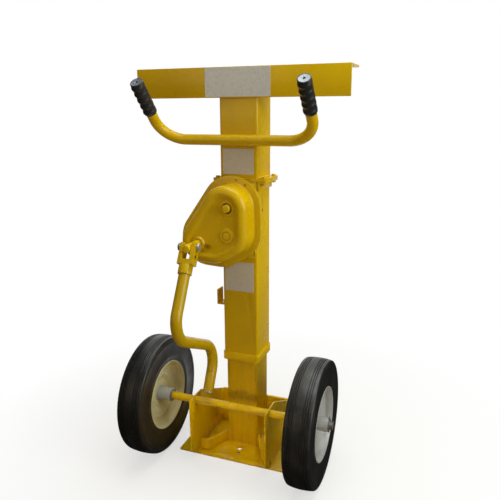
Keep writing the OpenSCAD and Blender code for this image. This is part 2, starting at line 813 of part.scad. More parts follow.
module thrust_bearing() color(steel) translate([-drive_off, 0, thrust_top - thrust_t]) difference() {
  cylinder(d = thrust_d, h = thrust_t);
  translate([0, 0, -eps]) cylinder(r = spigot_r + run_gap, h = thrust_t + 2 * eps);
}

// Screw, bevel gears and spur gears

module lead_screw() color(steel) translate([-drive_off, 0, 0]) {
  translate([0, 0, screw_bottom]) cylinder(d = screw_d, h = shoulder_top - screw_bottom - eps);
  translate([0, 0, shoulder_top - shoulder_t]) cylinder(d = shoulder_d, h = shoulder_t);
  translate([0, 0, shoulder_top - eps]) cylinder(r = spigot_r, h = lock_z + lock_nut_h - shoulder_top + eps);
}

// Bevel teeth run to the point where the two shafts cross
module bevel_gear() color(steel) translate([-drive_off, 0, bevel_z]) difference() {
  union() {
    linear_extrude(bevel_gear_h, scale = bevel_scale)
      gear_2d(bevel_module, bevel_gear_teeth, -90, 0.5, 1.6, 0.4, 0.2);
    translate([0, 0, -bevel_rim_h]) cylinder(r = bevel_gear_r - 2.2 * bevel_module, h = bevel_rim_h + eps);
    translate([0, 0, -bevel_rim_h - bevel_hub_h]) cylinder(r = spigot_r + 4, h = bevel_hub_h + eps);
  }
  translate([0, 0, -bevel_gear_r]) cylinder(r = spigot_r + seat_gap, h = 2 * bevel_gear_r);
}

module screw_lock_nut() color(zinc) translate([-drive_off, 0, lock_z]) difference() {
  cylinder(r = spigot_r + 3, h = lock_nut_h);
  translate([0, 0, -eps]) cylinder(r = spigot_r + seat_gap, h = lock_nut_h + 2 * eps);
}

module output_shaft() color(enamel)
  at(drive) bar_y(output_d / 2, spigot_r + 6.5, sunk_y + output_boss_h + 7);

module bevel_pinion() color(steel) at(drive) difference() {
  union() {
    translate([0, -bevel_gear_r, 0]) rotate([-90, 0, 0]) linear_extrude(bevel_pinion_h, scale = bevel_scale)
      gear_2d(bevel_module, bevel_pinion_teeth, 90 + 180 / bevel_pinion_teeth, 0.8, 1.3, 0.4, 0.3);
    bar_y(output_d / 2 + 3, bevel_gear_r - eps, leg_face - leg_wall - face_gap);
  }
  bar_y(output_d / 2 + seat_gap, 0, leg_face);
}

module output_gear() color(steel) at(drive) difference() {
  union() {
    thick_y(gear_y, gear_y + gear_face) gear_2d(gear_module, output_teeth, idler_angle);
    bar_y(output_d / 2 + 7, back_y + 2 + face_gap, gear_y + gear_face + 4);
  }
  bar_y(output_d / 2 + seat_gap, back_y, cavity_y);
}

module idler_gear() color(steel) at(idler) difference() {
  thick_y(slide_y, slide_y + slide_face) gear_2d(gear_module, idler_teeth, 0);
  bar_y(idler_d / 2 + run_gap, back_y, cavity_y);
}

module idler_pinion() color(steel) at(idler) difference() {
  union() {
    thick_y(gear_y, step_y)
      gear_2d(gear_module, idler_pinion_teeth, idler_angle + 180 + 180 / idler_pinion_teeth);
    bar_y(idler_d / 2 + 6, back_y + face_gap, slide_y);
  }
  bar_y(idler_d / 2 + run_gap, back_y, cavity_y);
}

// Input shaft: its pinion stands clear of the idler's gear, in neutral

module input_shaft() color(enamel) difference() {
  at(input) bar_y(input_d / 2, post_face, crank_y + shaft_past);
  translate(pivot) rotate([0, -crank_tilt, 0]) bar_x(fork_bolt_d / 2 + seat_gap, -fork_w, fork_w);
}

module input_pinion() color(steel) at(input) difference() {
  thick_y(input_y, input_y + slide_face) gear_2d(gear_module, input_teeth, 0);
  bar_y(input_d / 2 + seat_gap, back_y, cavity_y);
}

module fork_bolt() color(zinc) translate(pivot) rotate([0, -crank_tilt, 0]) {
  bar_x(fork_bolt_d / 2, -fork_w / 2 - face_gap - 10, fork_w / 2 + face_gap + eps);
  translate([fork_w / 2 + face_gap, 0, 0]) rotate([0, 90, 0]) hex(fork_bolt_flats, 0.65 * fork_bolt_d);
}

module fork_nut() color(zinc) translate(pivot) rotate([0, -crank_tilt, 0]) difference() {
  translate([-fork_w / 2 - face_gap, 0, 0]) rotate([0, -90, 0]) hex(fork_bolt_flats, 0.8 * fork_bolt_d);
  bar_x(fork_bolt_d / 2 + seat_gap, -fork_w, 0);
}

// Crank, drawn hanging straight down from the bolt and then leaned

module hanging() {
  translate(pivot) rotate([-crank_lean, -crank_tilt, 0]) children();
}

module crank_fork() color(enamel) hanging() difference() {
  union() {
    block([-fork_w / 2, -fork_d / 2, -fork_down], [fork_w / 2, fork_d / 2, fork_up]);
    translate([0, 0, -fork_down - ferrule_l]) cylinder(d = ferrule_d, h = ferrule_l + eps);
  }
  block([-slot_w / 2, -fork_d, fork_bridge - fork_down], [slot_w / 2, fork_d, fork_up + 1]);
  bar_x(fork_bolt_d / 2 + run_gap, -fork_w, fork_w);
  translate([0, 0, -lock_hole_down]) bar_x(lock_hole_d / 2, -fork_w, fork_w);
  translate([0, 0, -fork_down - ferrule_l - eps]) cylinder(r = crank_r + seat_gap, h = ferrule_l);
}

// The crank is bent in the plane that it folds in
module in_crank_plane() {
  hanging() rotate([0, 0, 90]) children();
}

// Round bend of the crank tube about a centre, from an angle through the turn
module crank_elbow(centre, from, r) {
  translate([centre[0], 0, centre[1]]) rotate([90, 0, 0]) rotate([0, 0, from])
    rotate_extrude(angle = turn) translate([crank_bend, 0]) circle(r = r);
}

module crank_tube() color(enamel) in_crank_plane() {
  top = -fork_down - eps;
  first = bend_run - crank_arm;
  run = crank_throw - 2 * bend_run;
  last = corner2[1] - bend_run;
  translate([0, 0, first]) cylinder(r = crank_r, h = top - first);
  crank_elbow([crank_bend, first], 180, crank_r);
  translate([bend_run * cos(crank_rise), 0, bend_run * sin(crank_rise) - crank_arm])
    rotate([0, 90 - crank_rise, 0]) translate([0, 0, -lap])
    cylinder(r = crank_r + lap / 5, h = run + 2 * lap);
  crank_elbow([corner2[0] - crank_bend, last], 0, crank_r);
  translate([corner2[0], 0, -sleeve_from]) cylinder(r = crank_r, h = sleeve_from + last);
  translate([corner2[0], 0, -crank_end])
    cylinder(r = sleeve_bore - run_gap, h = crank_end - sleeve_from + eps);
}

module crank_sleeve() color(enamel) in_crank_plane()
  translate([corner2[0], 0, -crank_end + sleeve_washer_t + face_gap]) difference() {
    cylinder(r = crank_r, h = crank_end - sleeve_from - sleeve_washer_t - 2 * face_gap);
    translate([0, 0, -eps]) cylinder(r = sleeve_bore, h = crank_end);
  }

module sleeve_washer() color(zinc) in_crank_plane() translate([corner2[0], 0, -crank_end]) difference() {
  cylinder(r = crank_r - 1, h = sleeve_washer_t);
  translate([0, 0, -eps]) cylinder(r = sleeve_bore - run_gap + seat_gap, h = sleeve_washer_t + 2 * eps);
}

base_plate();
left_side_plate();
right_side_plate();
front_plate();
left_brace();
right_brace();
inner_leg();
screw_nut();
axle();
axle_washers();
cotter_pins();
left_tyre();
left_rim();
left_hub();
left_bushes();
right_tyre();
right_rim();
right_hub();
right_bushes();
outer_leg();
leg_collar();
leg_ears();
post_foot();
post();
bearing_beam();
flange_bolts();
flange_nuts();
handlebar();
left_grip();
right_grip();
left_grip_cap();
right_grip_cap();
crank_hook();
gearbox_back();
gearbox_cover();
shaft_bushes();
idler_pin();
bearing_plate();
thrust_bearing();
lead_screw();
bevel_gear();
screw_lock_nut();
output_shaft();
bevel_pinion();
output_gear();
idler_gear();
idler_pinion();
input_shaft();
input_pinion();
fork_bolt();
fork_nut();
crank_fork();
crank_tube();
sleeve_washer();
crank_sleeve();
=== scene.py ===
"""Looks for the wheeled trailer jack, laid out as an add-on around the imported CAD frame."""
import json
import math

import bmesh
import bpy
from mathutils import Matrix, Vector


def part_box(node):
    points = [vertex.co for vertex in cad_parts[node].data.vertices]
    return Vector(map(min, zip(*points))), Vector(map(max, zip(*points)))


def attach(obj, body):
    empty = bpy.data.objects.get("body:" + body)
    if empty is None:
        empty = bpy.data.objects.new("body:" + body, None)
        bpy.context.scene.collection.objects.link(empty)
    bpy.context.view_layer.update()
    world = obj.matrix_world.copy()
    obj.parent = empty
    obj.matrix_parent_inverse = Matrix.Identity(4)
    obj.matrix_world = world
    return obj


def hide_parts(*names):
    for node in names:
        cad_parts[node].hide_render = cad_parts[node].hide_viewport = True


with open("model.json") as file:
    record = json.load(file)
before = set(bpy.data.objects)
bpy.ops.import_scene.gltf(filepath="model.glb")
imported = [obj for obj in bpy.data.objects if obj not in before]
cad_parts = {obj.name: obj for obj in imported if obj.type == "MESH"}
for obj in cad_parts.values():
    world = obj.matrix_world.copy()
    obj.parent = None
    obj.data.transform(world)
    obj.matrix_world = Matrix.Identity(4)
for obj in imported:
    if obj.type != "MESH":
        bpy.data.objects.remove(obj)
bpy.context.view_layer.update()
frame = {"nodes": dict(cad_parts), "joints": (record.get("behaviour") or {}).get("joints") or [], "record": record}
NODES = frame["nodes"]
JOINTS = {joint["name"]: joint for joint in frame["joints"]}

bl_info = {
    "name": "Wheeled trailer jack",
    "version": (1, 0, 0),
    "blender": (4, 5, 0),
    "location": "View3D > Sidebar > Jack",
    "description": "Builds the painted steelwork, wheels, gearbox, crank and trim of a wheeled trailer jack",
    "category": "Object",
}

MM = 0.001
SIDES = {"left": -1, "right": 1}


def colour(label, words, default):
    return bpy.props.FloatVectorProperty(
        name=label, description=words, default=default, subtype="COLOR", size=3, min=0.0, max=1.0
    )


def length(label, words, default):
    return bpy.props.FloatProperty(name=label, description=words, default=default, unit="LENGTH", min=0.0)


def number(label, words, default):
    return bpy.props.FloatProperty(name=label, description=words, default=default)


class JackColours(bpy.types.PropertyGroup):
    """Colours of the jack's finishes"""

    enamel: colour("Enamel", "Yellow paint in full light", (0.80, 0.525, 0.0))
    enamel_deep: colour("Deep enamel", "Paint where the coat is thicker", (0.69, 0.425, 0.0))
    # In corners this brown is also painted shade, besides real dirt in smears and stains
    grime_and_shade: colour("Grime and shade", "Brown dirt in smears, dirt and painted shade in corners", (0.21, 0.095, 0.012))
    bare: colour("Bare metal", "Steel under chipped paint", (0.20, 0.17, 0.13))
    rust: colour("Rust", "Rust on bare ends and pins", (0.17, 0.07, 0.025))
    rubber: colour("Tyre rubber", "Clean tyre rubber", (0.0082, 0.0082, 0.0083))
    # On the tread this colour is also painted sheen
    dust_and_sheen: colour("Dust", "Dust on the tyres, on the tread also painted sheen", (0.085, 0.083, 0.08))
    rim: colour("Rim paint", "Grey-white wheel paint", (0.42, 0.43, 0.44))
    # On the wheels this brown is also painted shade in corners, besides real dirt in smears
    rim_dirt_and_shade: colour("Rim dirt and shade", "Brown dirt on the wheel paint, with painted shade in corners", (0.22, 0.19, 0.13))
    # The left rim's paint, tinted with painted yellow bounce light from the yellow steel beside it
    rim_yellow_bounce: colour("Rim in yellow bounce", "Wheel paint with painted yellow bounce light", (0.66, 0.61, 0.34))
    zinc: colour("Zinc", "Plated fasteners", (0.66, 0.66, 0.63))
    steel: colour("Steel", "Oiled steel inside the gearbox", (0.33, 0.32, 0.31))
    bronze: colour("Bronze", "Bushes and nut", (0.42, 0.27, 0.11))
    grip: colour("Grip rubber", "Black handle grips", (0.026, 0.024, 0.025))
    cap: colour("Grip cap", "Blue-grey caps on the grips", (0.25, 0.28, 0.33))
    label: colour("Label", "Bare paper labels", (0.70, 0.65, 0.58))
    label_stain: colour("Label stain", "Brown specks on the paper labels", (0.36, 0.30, 0.20))
    foil: colour("Foil label", "Bare metal label on the beam", (0.82, 0.85, 0.88))
    foil_stain: colour("Foil stain", "Dull specks on the metal label", (0.40, 0.38, 0.34))


class JackTrim(bpy.types.PropertyGroup):
    """Sizes of the details that the CAD leaves plain"""

    edge: length("Edge rounding", "Rounding of cut plate edges", 0.6 * MM)
    weld: length("Weld radius", "Radius of the weld beads", 2.4 * MM)
    ripple: length("Weld ripple", "Distance between a bead's ripples", 3.2 * MM)
    ridge: length("Finger ridge height", "How far the ridges under the grips stand out", 2.6 * MM)
    label_t: length("Label thickness", "Thickness of the stuck-on labels", 0.5 * MM)
    groove: length("Tread groove depth", "Depth of the tyres' grooves", 2.6 * MM)


class JackStage(bpy.types.PropertyGroup):
    """Camera and light"""

    eye: bpy.props.FloatVectorProperty(
        name="Camera place", description="Where the photograph was taken from",
        default=(0.4994, -1.2815, 0.8783), subtype="TRANSLATION", unit="LENGTH", size=3,
    )
    azimuth: number("Azimuth", "Camera's turn about the vertical, in degrees", 20.938)
    pitch: number("Pitch", "Camera's tilt down, in degrees", 14.129)
    roll: number("Roll", "Camera's roll, in degrees", -0.357)
    lens: number("Lens", "Focal length on a 36 mm sensor, in millimetres", 40.43)
    top_power: number("Top light", "Power of the softbox overhead, in watts", 42.0)
    side_power: number("Side light", "Power of the softbox on the right, in watts", 38.0)
    front_power: number("Front light", "Power of the softbox by the camera, in watts", 8.0)
    low_power: number("Low light", "Power of the small lamp near the floor, in watts", 0.1)
    daylight: colour("Daylight", "Tint of the lights above and on the right", (0.95, 1.0, 0.93))
    bounce: colour("Bounce", "Colour of the floor in the light it throws back", (0.42, 0.36, 0.26))
    ambient: number("Ambient", "Light from all round", 0.2)
    room: colour("Room", "Warm tint of the light from all round", (1.0, 0.81, 0.58))


# Shader building

def add(tree, kind, sockets=None, **settings):
    """A shader node with its settings, and its sockets set or linked"""
    made = tree.nodes.new("ShaderNode" + kind)
    for key, value in settings.items():
        setattr(made, key, value)
    for key, value in (sockets or {}).items():
        if isinstance(value, bpy.types.NodeSocket):
            tree.links.new(value, made.inputs[key])
        else:
            made.inputs[key].default_value = value
    return made


def calc(tree, operation, a, b=0.0):
    return add(tree, "Math", {0: a, 1: b}, operation=operation).outputs[0]


def times(tree, a, b):
    return calc(tree, "MULTIPLY", a, b)


def span(tree, value, low, high, to_low=0.0, to_high=1.0):
    return add(tree, "MapRange", {0: value, 1: low, 2: high, 3: to_low, 4: to_high}).outputs[0]


def tint(tree, amount, first, second):
    return add(tree, "Mix", {0: amount, 6: first, 7: second}, data_type="RGBA").outputs[2]


def blend(tree, amount, first, second):
    return add(tree, "Mix", {0: amount, 2: first, 3: second}, data_type="FLOAT").outputs[0]


def cloud(tree, where, scale, detail=3.0, roughness=0.5, stretch=None):
    """Noise over the surface, drawn out along an axis where stretch is small"""
    if stretch:
        where = add(tree, "Mapping", {"Vector": where, "Scale": stretch}).outputs[0]
    sockets = {"Vector": where, "Scale": scale, "Detail": detail, "Roughness": roughness}
    return add(tree, "TexNoise", sockets).outputs[0]


def node_group(name, inputs, outputs):
    """An empty shader group, with its input sockets by name"""
    tree = bpy.data.node_groups.new(name, "ShaderNodeTree")
    for label, default in inputs.items():
        width = 1 if isinstance(default, float) else len(default)
        kind = {1: "NodeSocketFloat", 3: "NodeSocketVector", 4: "NodeSocketColor"}[width]
        tree.interface.new_socket(label, in_out="INPUT", socket_type=kind).default_value = default
    for label, kind in outputs.items():
        tree.interface.new_socket(label, in_out="OUTPUT", socket_type=kind)
    into = tree.nodes.new("NodeGroupInput")
    return tree, {s.name: s for s in into.outputs if s.name}, tree.nodes.new("NodeGroupOutput")


def placed(tree, group, **values):
    """A group placed in a tree, its inputs set or linked; an underscore stands for a space"""
    sockets = {key.replace("_", " "): value for key, value in values.items()}
    return add(tree, "Group", sockets, node_tree=group).outputs


GREY = (0.5, 0.5, 0.5, 1.0)
WHITE = (1.0, 1.0, 1.0, 1.0)
SURFACE = {"Color": "NodeSocketColor", "Roughness": "NodeSocketFloat", "Height": "NodeSocketFloat"}


def edge_group():
    """Mask of outside edges and of shaded corners"""
    tree, into, out = node_group(
        "Edges and corners", {"Edge Width": 0.002, "Corner Reach": 0.02},
        {"Edge": "NodeSocketFloat", "Corner": "NodeSocketFloat"},
    )
    round_normal = add(tree, "Bevel", {"Radius": into["Edge Width"]}, samples=6).outputs[0]
    flat_normal = add(tree, "NewGeometry").outputs["Normal"]
    likeness = add(tree, "VectorMath", {0: round_normal, 1: flat_normal}, operation="DOT_PRODUCT")
    tree.links.new(span(tree, likeness.outputs["Value"], 0.985, 0.80), out.inputs["Edge"])
    shade = add(tree, "AmbientOcclusion", {"Distance": into["Corner Reach"]}, samples=8).outputs["AO"]
    tree.links.new(span(tree, shade, 0.72, 0.22), out.inputs["Corner"])
    return tree


def paint_group(edges):
    """Brushed-on enamel: tone, smears, dirt and painted shade in corners, chipped edges and orange peel"""
    tree, into, out = node_group("Worn enamel", {
        "Paint": GREY, "Deep": GREY, "Dirt and shade": GREY, "Bare": GREY, "Smears": 0.4, "Corners": 0.6, "Chips": 0.4,
    }, SURFACE)
    where = add(tree, "TexCoord").outputs["Object"]
    mask = placed(tree, edges, Edge_Width=1.8 * MM, Corner_Reach=9 * MM)
    tone = span(tree, cloud(tree, where, 8.0, 4.0), 0.34, 0.68)
    shade = tint(tree, times(tree, tone, 0.6), into["Paint"], into["Deep"])
    smear = span(tree, cloud(tree, where, 26.0, 7.0, 0.66, (1.0, 1.0, 0.4)), 0.52, 0.80)
    shade = tint(tree, times(tree, smear, into["Smears"]), shade, into["Dirt and shade"])
    # Corners darken where nearby surfaces shut out the light: partly real dirt, partly painted shade
    patch = span(tree, cloud(tree, where, 45.0, 5.0), 0.30, 0.62)
    corner = times(tree, times(tree, mask["Corner"], patch), into["Corners"])
    shade = tint(tree, corner, shade, into["Dirt and shade"])
    nick = span(tree, cloud(tree, where, 150.0, 5.0, 0.7), 0.56, 0.63)
    worn = times(tree, mask["Edge"], nick)
    speck = span(tree, cloud(tree, where, 240.0, 2.0), 0.735, 0.76)
    sparse = span(tree, cloud(tree, where, 21.0, 2.0), 0.56, 0.66)
    worn = calc(tree, "MAXIMUM", worn, times(tree, speck, sparse))
    worn = times(tree, worn, into["Chips"])
    tree.links.new(tint(tree, worn, shade, into["Bare"]), out.inputs["Color"])
    rough = span(tree, cloud(tree, where, 17.0, 6.0, 0.6), 0.3, 0.7, 0.22, 0.36)
    rough = calc(tree, "ADD", rough, times(tree, calc(tree, "MAXIMUM", worn, corner), 0.35))
    tree.links.new(rough, out.inputs["Roughness"])
    peel = times(tree, cloud(tree, where, 420.0, 2.0), 0.25)
    wave = times(tree, cloud(tree, where, 55.0, 2.0), 0.6)
    high = calc(tree, "SUBTRACT", calc(tree, "ADD", peel, wave), times(tree, worn, 0.5))
    tree.links.new(high, out.inputs["Height"])
    return tree


def streak_group():
    """Rub marks drawn out along one axis"""
    tree, into, out = node_group("Rub marks", {
        "Across": 160.0, "Along": 3.0, "Turn to X": 0.0, "Amount": 0.5,
    }, {"Mask": "NodeSocketFloat"})
    parts = add(tree, "SeparateXYZ", {0: add(tree, "TexCoord").outputs["Object"]}).outputs
    along = blend(tree, into["Turn to X"], parts[2], parts[0])
    other = blend(tree, into["Turn to X"], parts[0], parts[2])
    where = add(tree, "CombineXYZ", {
        0: times(tree, other, into["Across"]),
        1: times(tree, parts[1], into["Across"]),
        2: times(tree, along, into["Along"]),
    }).outputs[0]
    line = span(tree, cloud(tree, where, 1.0, 4.0, 0.6), 0.54, 0.70)
    tree.links.new(times(tree, line, into["Amount"]), out.inputs["Mask"])
    return tree


def stain_group():
    """A ragged blot around a place; its shape is how fast it fades along each axis"""
    tree, into, out = node_group(
        "Stain", {"Place": (0.0, 0.0, 0.0), "Shape": (100.0, 100.0, 100.0)}, {"Mask": "NodeSocketFloat"}
    )
    where = add(tree, "TexCoord").outputs["Object"]
    away = add(tree, "VectorMath", {0: where, 1: into["Place"]}, operation="SUBTRACT").outputs[0]
    away = add(tree, "VectorMath", {0: away, 1: into["Shape"]}, operation="MULTIPLY").outputs[0]
    far = add(tree, "VectorMath", {0: away}, operation="LENGTH").outputs["Value"]
    ragged = calc(tree, "ADD", far, cloud(tree, where, 220.0, 4.0, 0.6))
    tree.links.new(span(tree, ragged, 1.45, 0.75), out.inputs["Mask"])
    return tree


def rubber_group(edges):
    """Rubber with dusty patches and dusty grooves; on the tread the heavy patches are also painted sheen"""
    tree, into, out = node_group(
        "Dusty rubber", {"Rubber": GREY, "Dust": GREY, "Patches": 0.5, "Corners": 0.5}, SURFACE
    )
    where = add(tree, "TexCoord").outputs["Object"]
    mask = placed(tree, edges, Edge_Width=3 * MM, Corner_Reach=12 * MM)
    patch = span(tree, cloud(tree, where, 16.0, 7.0, 0.68), 0.50, 0.78)
    fine = span(tree, cloud(tree, where, 230.0, 4.0, 0.6), 0.35, 0.70)
    amount = times(tree, times(tree, patch, fine), into["Patches"])
    corner = times(tree, mask["Corner"], into["Corners"])
    amount = calc(tree, "MAXIMUM", amount, times(tree, corner, fine))
    tree.links.new(tint(tree, amount, into["Rubber"], into["Dust"]), out.inputs["Color"])
    rough = span(tree, cloud(tree, where, 30.0, 5.0), 0.3, 0.7, 0.34, 0.52)
    tree.links.new(calc(tree, "ADD", rough, times(tree, amount, 0.3)), out.inputs["Roughness"])
    tree.links.new(cloud(tree, where, 600.0, 3.0), out.inputs["Height"])
    return tree


def metal_group(edges):
    """Plated or bare metal with dull patches and rust in its corners"""
    tree, into, out = node_group(
        "Weathered metal", {"Metal": GREY, "Rust": GREY, "Rusting": 0.4, "Polish": 0.3}, SURFACE
    )
    where = add(tree, "TexCoord").outputs["Object"]
    mask = placed(tree, edges, Edge_Width=1 * MM, Corner_Reach=6 * MM)
    patch = span(tree, cloud(tree, where, 130.0, 6.0, 0.65), 0.46, 0.66)
    corner = times(tree, mask["Corner"], 0.6)
    amount = times(tree, calc(tree, "MAXIMUM", patch, corner), into["Rusting"])
    tree.links.new(tint(tree, amount, into["Metal"], into["Rust"]), out.inputs["Color"])
    rough = span(tree, cloud(tree, where, 300.0, 4.0), 0.3, 0.7, 0.0, 0.2)
    rough = calc(tree, "ADD", calc(tree, "ADD", rough, into["Polish"]), times(tree, amount, 0.4))
    tree.links.new(rough, out.inputs["Roughness"])
    tree.links.new(cloud(tree, where, 700.0, 4.0), out.inputs["Height"])
    return tree


def sheet_group():
    """How much of the white sheet behind the object a reflection meets"""
    tree, into, out = node_group("White sheet", {"Heading": GREY}, {"Share": "NodeSocketFloat"})
    level = add(tree, "VectorMath", {0: into["Heading"], 1: (1.0, 1.0, 0.0)}, operation="MULTIPLY").outputs[0]
    level = add(tree, "VectorMath", {0: level}, operation="NORMALIZE").outputs[0]
    az = math.radians(bpy.context.scene.jack_stage.azimuth)
    behind = (-math.sin(az), math.cos(az), 0.0)
    facing = add(tree, "VectorMath", {0: level, 1: behind}, operation="DOT_PRODUCT").outputs["Value"]
    tree.links.new(span(tree, facing, 0.80, 0.97, 0.02, 1.0), out.inputs["Share"])
    return tree


def material(name, group, values, bump, depth=0.4 * MM, **sockets):
    """A material that takes colour, roughness and relief from a group; returns its tree and shader"""
    made = bpy.data.materials.new(name)
    made.use_nodes = True
    tree = made.node_tree
    shader = tree.nodes["Principled BSDF"]
    source = placed(tree, group, **values)
    tree.links.new(source["Color"], shader.inputs["Base Color"])
    tree.links.new(source["Roughness"], shader.inputs["Roughness"])
    relief = add(tree, "Bump", {"Strength": bump, "Distance": depth, "Height": source["Height"]})
    tree.links.new(relief.outputs[0], shader.inputs["Normal"])
    for key, value in sockets.items():
        shader.inputs[key.replace("_", " ")].default_value = value
    return tree, shader


def opaque(rgb):
    return (rgb[0], rgb[1], rgb[2], 1.0)


def streaked(tree, shader, group, dirt, **values):
    """Lays rub marks over a finished material"""
    shade = shader.inputs["Base Color"].links[0].from_socket
    mask = placed(tree, group, **values)["Mask"]
    tree.links.new(tint(tree, mask, shade, opaque(dirt)), shader.inputs["Base Color"])


def stained(tree, shader, group, blots):
    """Lays blots over a finished material: place and reach in millimetres, colour and amount"""
    shade = shader.inputs["Base Color"].links[0].from_socket
    for place, reach, rgb, amount in blots:
        fade = [1 / (v * MM) for v in reach]
        mask = placed(tree, group, Place=[v * MM for v in place], Shape=fade)["Mask"]
        shade = tint(tree, times(tree, mask, amount), shade, opaque(rgb))
    tree.links.new(shade, shader.inputs["Base Color"])


def finish(name):
    return bpy.data.materials[name]


# Mesh building

def turns(count):
    """Angles once round in equal steps"""
    return [2 * math.pi * k / count for k in range(count)]


def in_mm(points):
    """Flat points given in millimetres"""
    return [(a * MM, b * MM) for a, b in points]


def mirrored(half):
    """A whole (radius, height) section from its half, whose first point lies on the middle"""
    return half + [(r, -h) for r, h in reversed(half[1:])]


def ring_loft(rings):
    """Closed skin over rings of points; each ring has the same count"""
    bm = bmesh.new()
    rows = [[bm.verts.new(p) for p in ring] for ring in rings]
    count = len(rows[0])
    for low, high in zip(rows, rows[1:]):
        for i in range(count):
            j = (i + 1) % count
            bm.faces.new((low[i], low[j], high[j], high[i]))
    bm.faces.new(rows[0])
    bm.faces.new(rows[-1])
    return bm


def lathe(profile, place, segments):
    """Turns a closed outline of (radius, height) about the place's Z axis"""
    bm = bmesh.new()
    rows = []
    for a in turns(segments):
        rows.append([bm.verts.new(place @ Vector((r * math.cos(a), r * math.sin(a), h))) for r, h in profile])
    for i, here in enumerate(rows):
        there = rows[(i + 1) % segments]
        for k in range(len(profile)):
            m = (k + 1) % len(profile)
            bm.faces.new((here[k], there[k], there[m], here[m]))
    bmesh.ops.remove_doubles(bm, verts=bm.verts, dist=1e-6)
    return bm


def filleted(points, radius, steps=4):
    """A closed outline with its corners rounded"""
    made = []
    for i, p in enumerate(points):
        p = Vector(p)
        before = Vector(points[i - 1]) - p
        after = Vector(points[(i + 1) % len(points)]) - p
        cut = min(radius, 0.45 * before.length, 0.45 * after.length)
        start, end = p + before.normalized() * cut, p + after.normalized() * cut
        for k in range(steps + 1):
            t = k / steps
            made.append(tuple(start * (1 - t) ** 2 + p * 2 * t * (1 - t) + end * t ** 2))
    return made


def arc(centre, radius, start, end, steps):
    """Points of a round stretch in a plane, in degrees"""
    angles = [math.radians(start + (end - start) * k / steps) for k in range(steps + 1)]
    return [(centre[0] + radius * math.cos(a), centre[1] + radius * math.sin(a)) for a in angles]


def sweep(points, radius, segments):
    """A tube along points; radius is a number or a function of the distance along it"""
    points = [Vector(p) for p in points]
    size = radius if callable(radius) else lambda _: radius
    heading = (points[1] - points[0]).normalized()
    side = heading.orthogonal().normalized()
    rings, run = [], 0.0
    for i, p in enumerate(points):
        nearby = points[min(i + 1, len(points) - 1)] - points[max(i - 1, 0)]
        turned = nearby.normalized()
        side = heading.rotation_difference(turned) @ side
        heading = turned
        other = heading.cross(side)
        run += (p - points[i - 1]).length if i else 0.0
        r = size(run)
        rings.append([p + r * (math.cos(a) * side + math.sin(a) * other) for a in turns(segments)])
    return ring_loft(rings)


def plate(width, height, thick, radius, place):
    """A thin plate with round corners in the place's XY plane, back face on it"""
    half_w, half_h = width / 2 - radius, height / 2 - radius
    outline = []
    corners = ((half_w, half_h), (-half_w, half_h), (-half_w, -half_h), (half_w, -half_h))
    for quarter, centre in enumerate(corners):
        outline += arc(centre, radius, 90 * quarter, 90 * quarter + 90, 6)
    bm = bmesh.new()
    low = bm.faces.new([bm.verts.new((x, y, 0.0)) for x, y in outline])
    grown = bmesh.ops.extrude_face_region(bm, geom=[low])["geom"]
    top = next(g for g in grown if isinstance(g, bmesh.types.BMFace))
    bmesh.ops.translate(bm, verts=top.verts[:], vec=(0, 0, thick))
    bmesh.ops.transform(bm, matrix=place, verts=bm.verts)
    return bm


def new_object(name, bm):
    mesh = bpy.data.meshes.new(name)
    bm.to_mesh(mesh)
    bm.free()
    made = bpy.data.objects.new(name, mesh)
    bpy.context.scene.collection.objects.link(made)
    return made


def piece(name, bm, body, look, stands_for=(), degrees=35):
    """Makes the object, smooths it and ties it to its body; look is a finish or a list of them"""
    bmesh.ops.recalc_face_normals(bm, faces=bm.faces)
    made = new_object(name, bm)
    mesh = made.data
    mesh.polygons.foreach_set("use_smooth", [True] * len(mesh.polygons))
    mesh.set_sharp_from_angle(angle=math.radians(degrees))
    for entry in look if isinstance(look, list) else [look]:
        mesh.materials.append(finish(entry))
    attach(made, body)
    if stands_for:
        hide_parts(*stands_for)
    return made


def body_of(node):
    return next(b for b, members in frame["record"]["behaviour"]["bodies"].items() if node in members)


def slot_of(node):
    return next(s["material_slot"] for s in frame["record"]["subparts"] if s["node"] == node)


def dressed(node, look, rounding, steps=2):
    """A copy of a CAD node with its outside edges rounded, which stands for it"""
    bm = bmesh.new()
    bm.from_mesh(NODES[node].data)
    bmesh.ops.remove_doubles(bm, verts=bm.verts, dist=2e-6)
    bmesh.ops.dissolve_limit(bm, angle_limit=math.radians(0.4), verts=bm.verts, edges=bm.edges)
    pairs = [e for e in bm.edges if len(e.link_faces) == 2]
    sharp = [e for e in pairs if e.is_convex and e.calc_face_angle() > math.radians(28)]
    bmesh.ops.bevel(
        bm, geom=sharp, offset=rounding, segments=steps, profile=0.5, affect="EDGES", clamp_overlap=True
    )
    return piece(node + "_skin", bm, body_of(node), look, [node])


def middle(node):
    low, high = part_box(node)
    return (low + high) / 2


# Places that several pieces share, read from the CAD

AXLE = middle("axle")
WHEEL_R = (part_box("left_tyre")[1].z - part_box("left_tyre")[0].z) / 2
TYRE_HALF = (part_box("left_tyre")[1].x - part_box("left_tyre")[0].x) / 2
POST_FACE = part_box("post")[1].x
LEG_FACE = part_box("outer_leg")[1].x
PIVOT = Vector(JOINTS["crank_fold"]["pos_m"])
CRANK_TILT = math.atan2(JOINTS["crank_fold"]["axis"][2], -JOINTS["crank_fold"]["axis"][0])
CRANK_LEAN = math.asin(-JOINTS["sleeve_spin"]["axis"][1])
HANGING = Matrix.Translation(PIVOT) @ Matrix.Rotation(CRANK_TILT, 4, "Y")
HANGING = HANGING @ Matrix.Rotation(CRANK_LEAN, 4, "X")
BAR_D = 25 * MM
HORN_LEAN = math.radians(41)
BAR = Matrix.Translation((0, -POST_FACE - BAR_D / 2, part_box("handlebar")[0].z + BAR_D / 2))
BAR = BAR @ Matrix.Rotation(HORN_LEAN, 4, "X")
ALONG_X = Matrix.Rotation(math.pi / 2, 4, "Y")
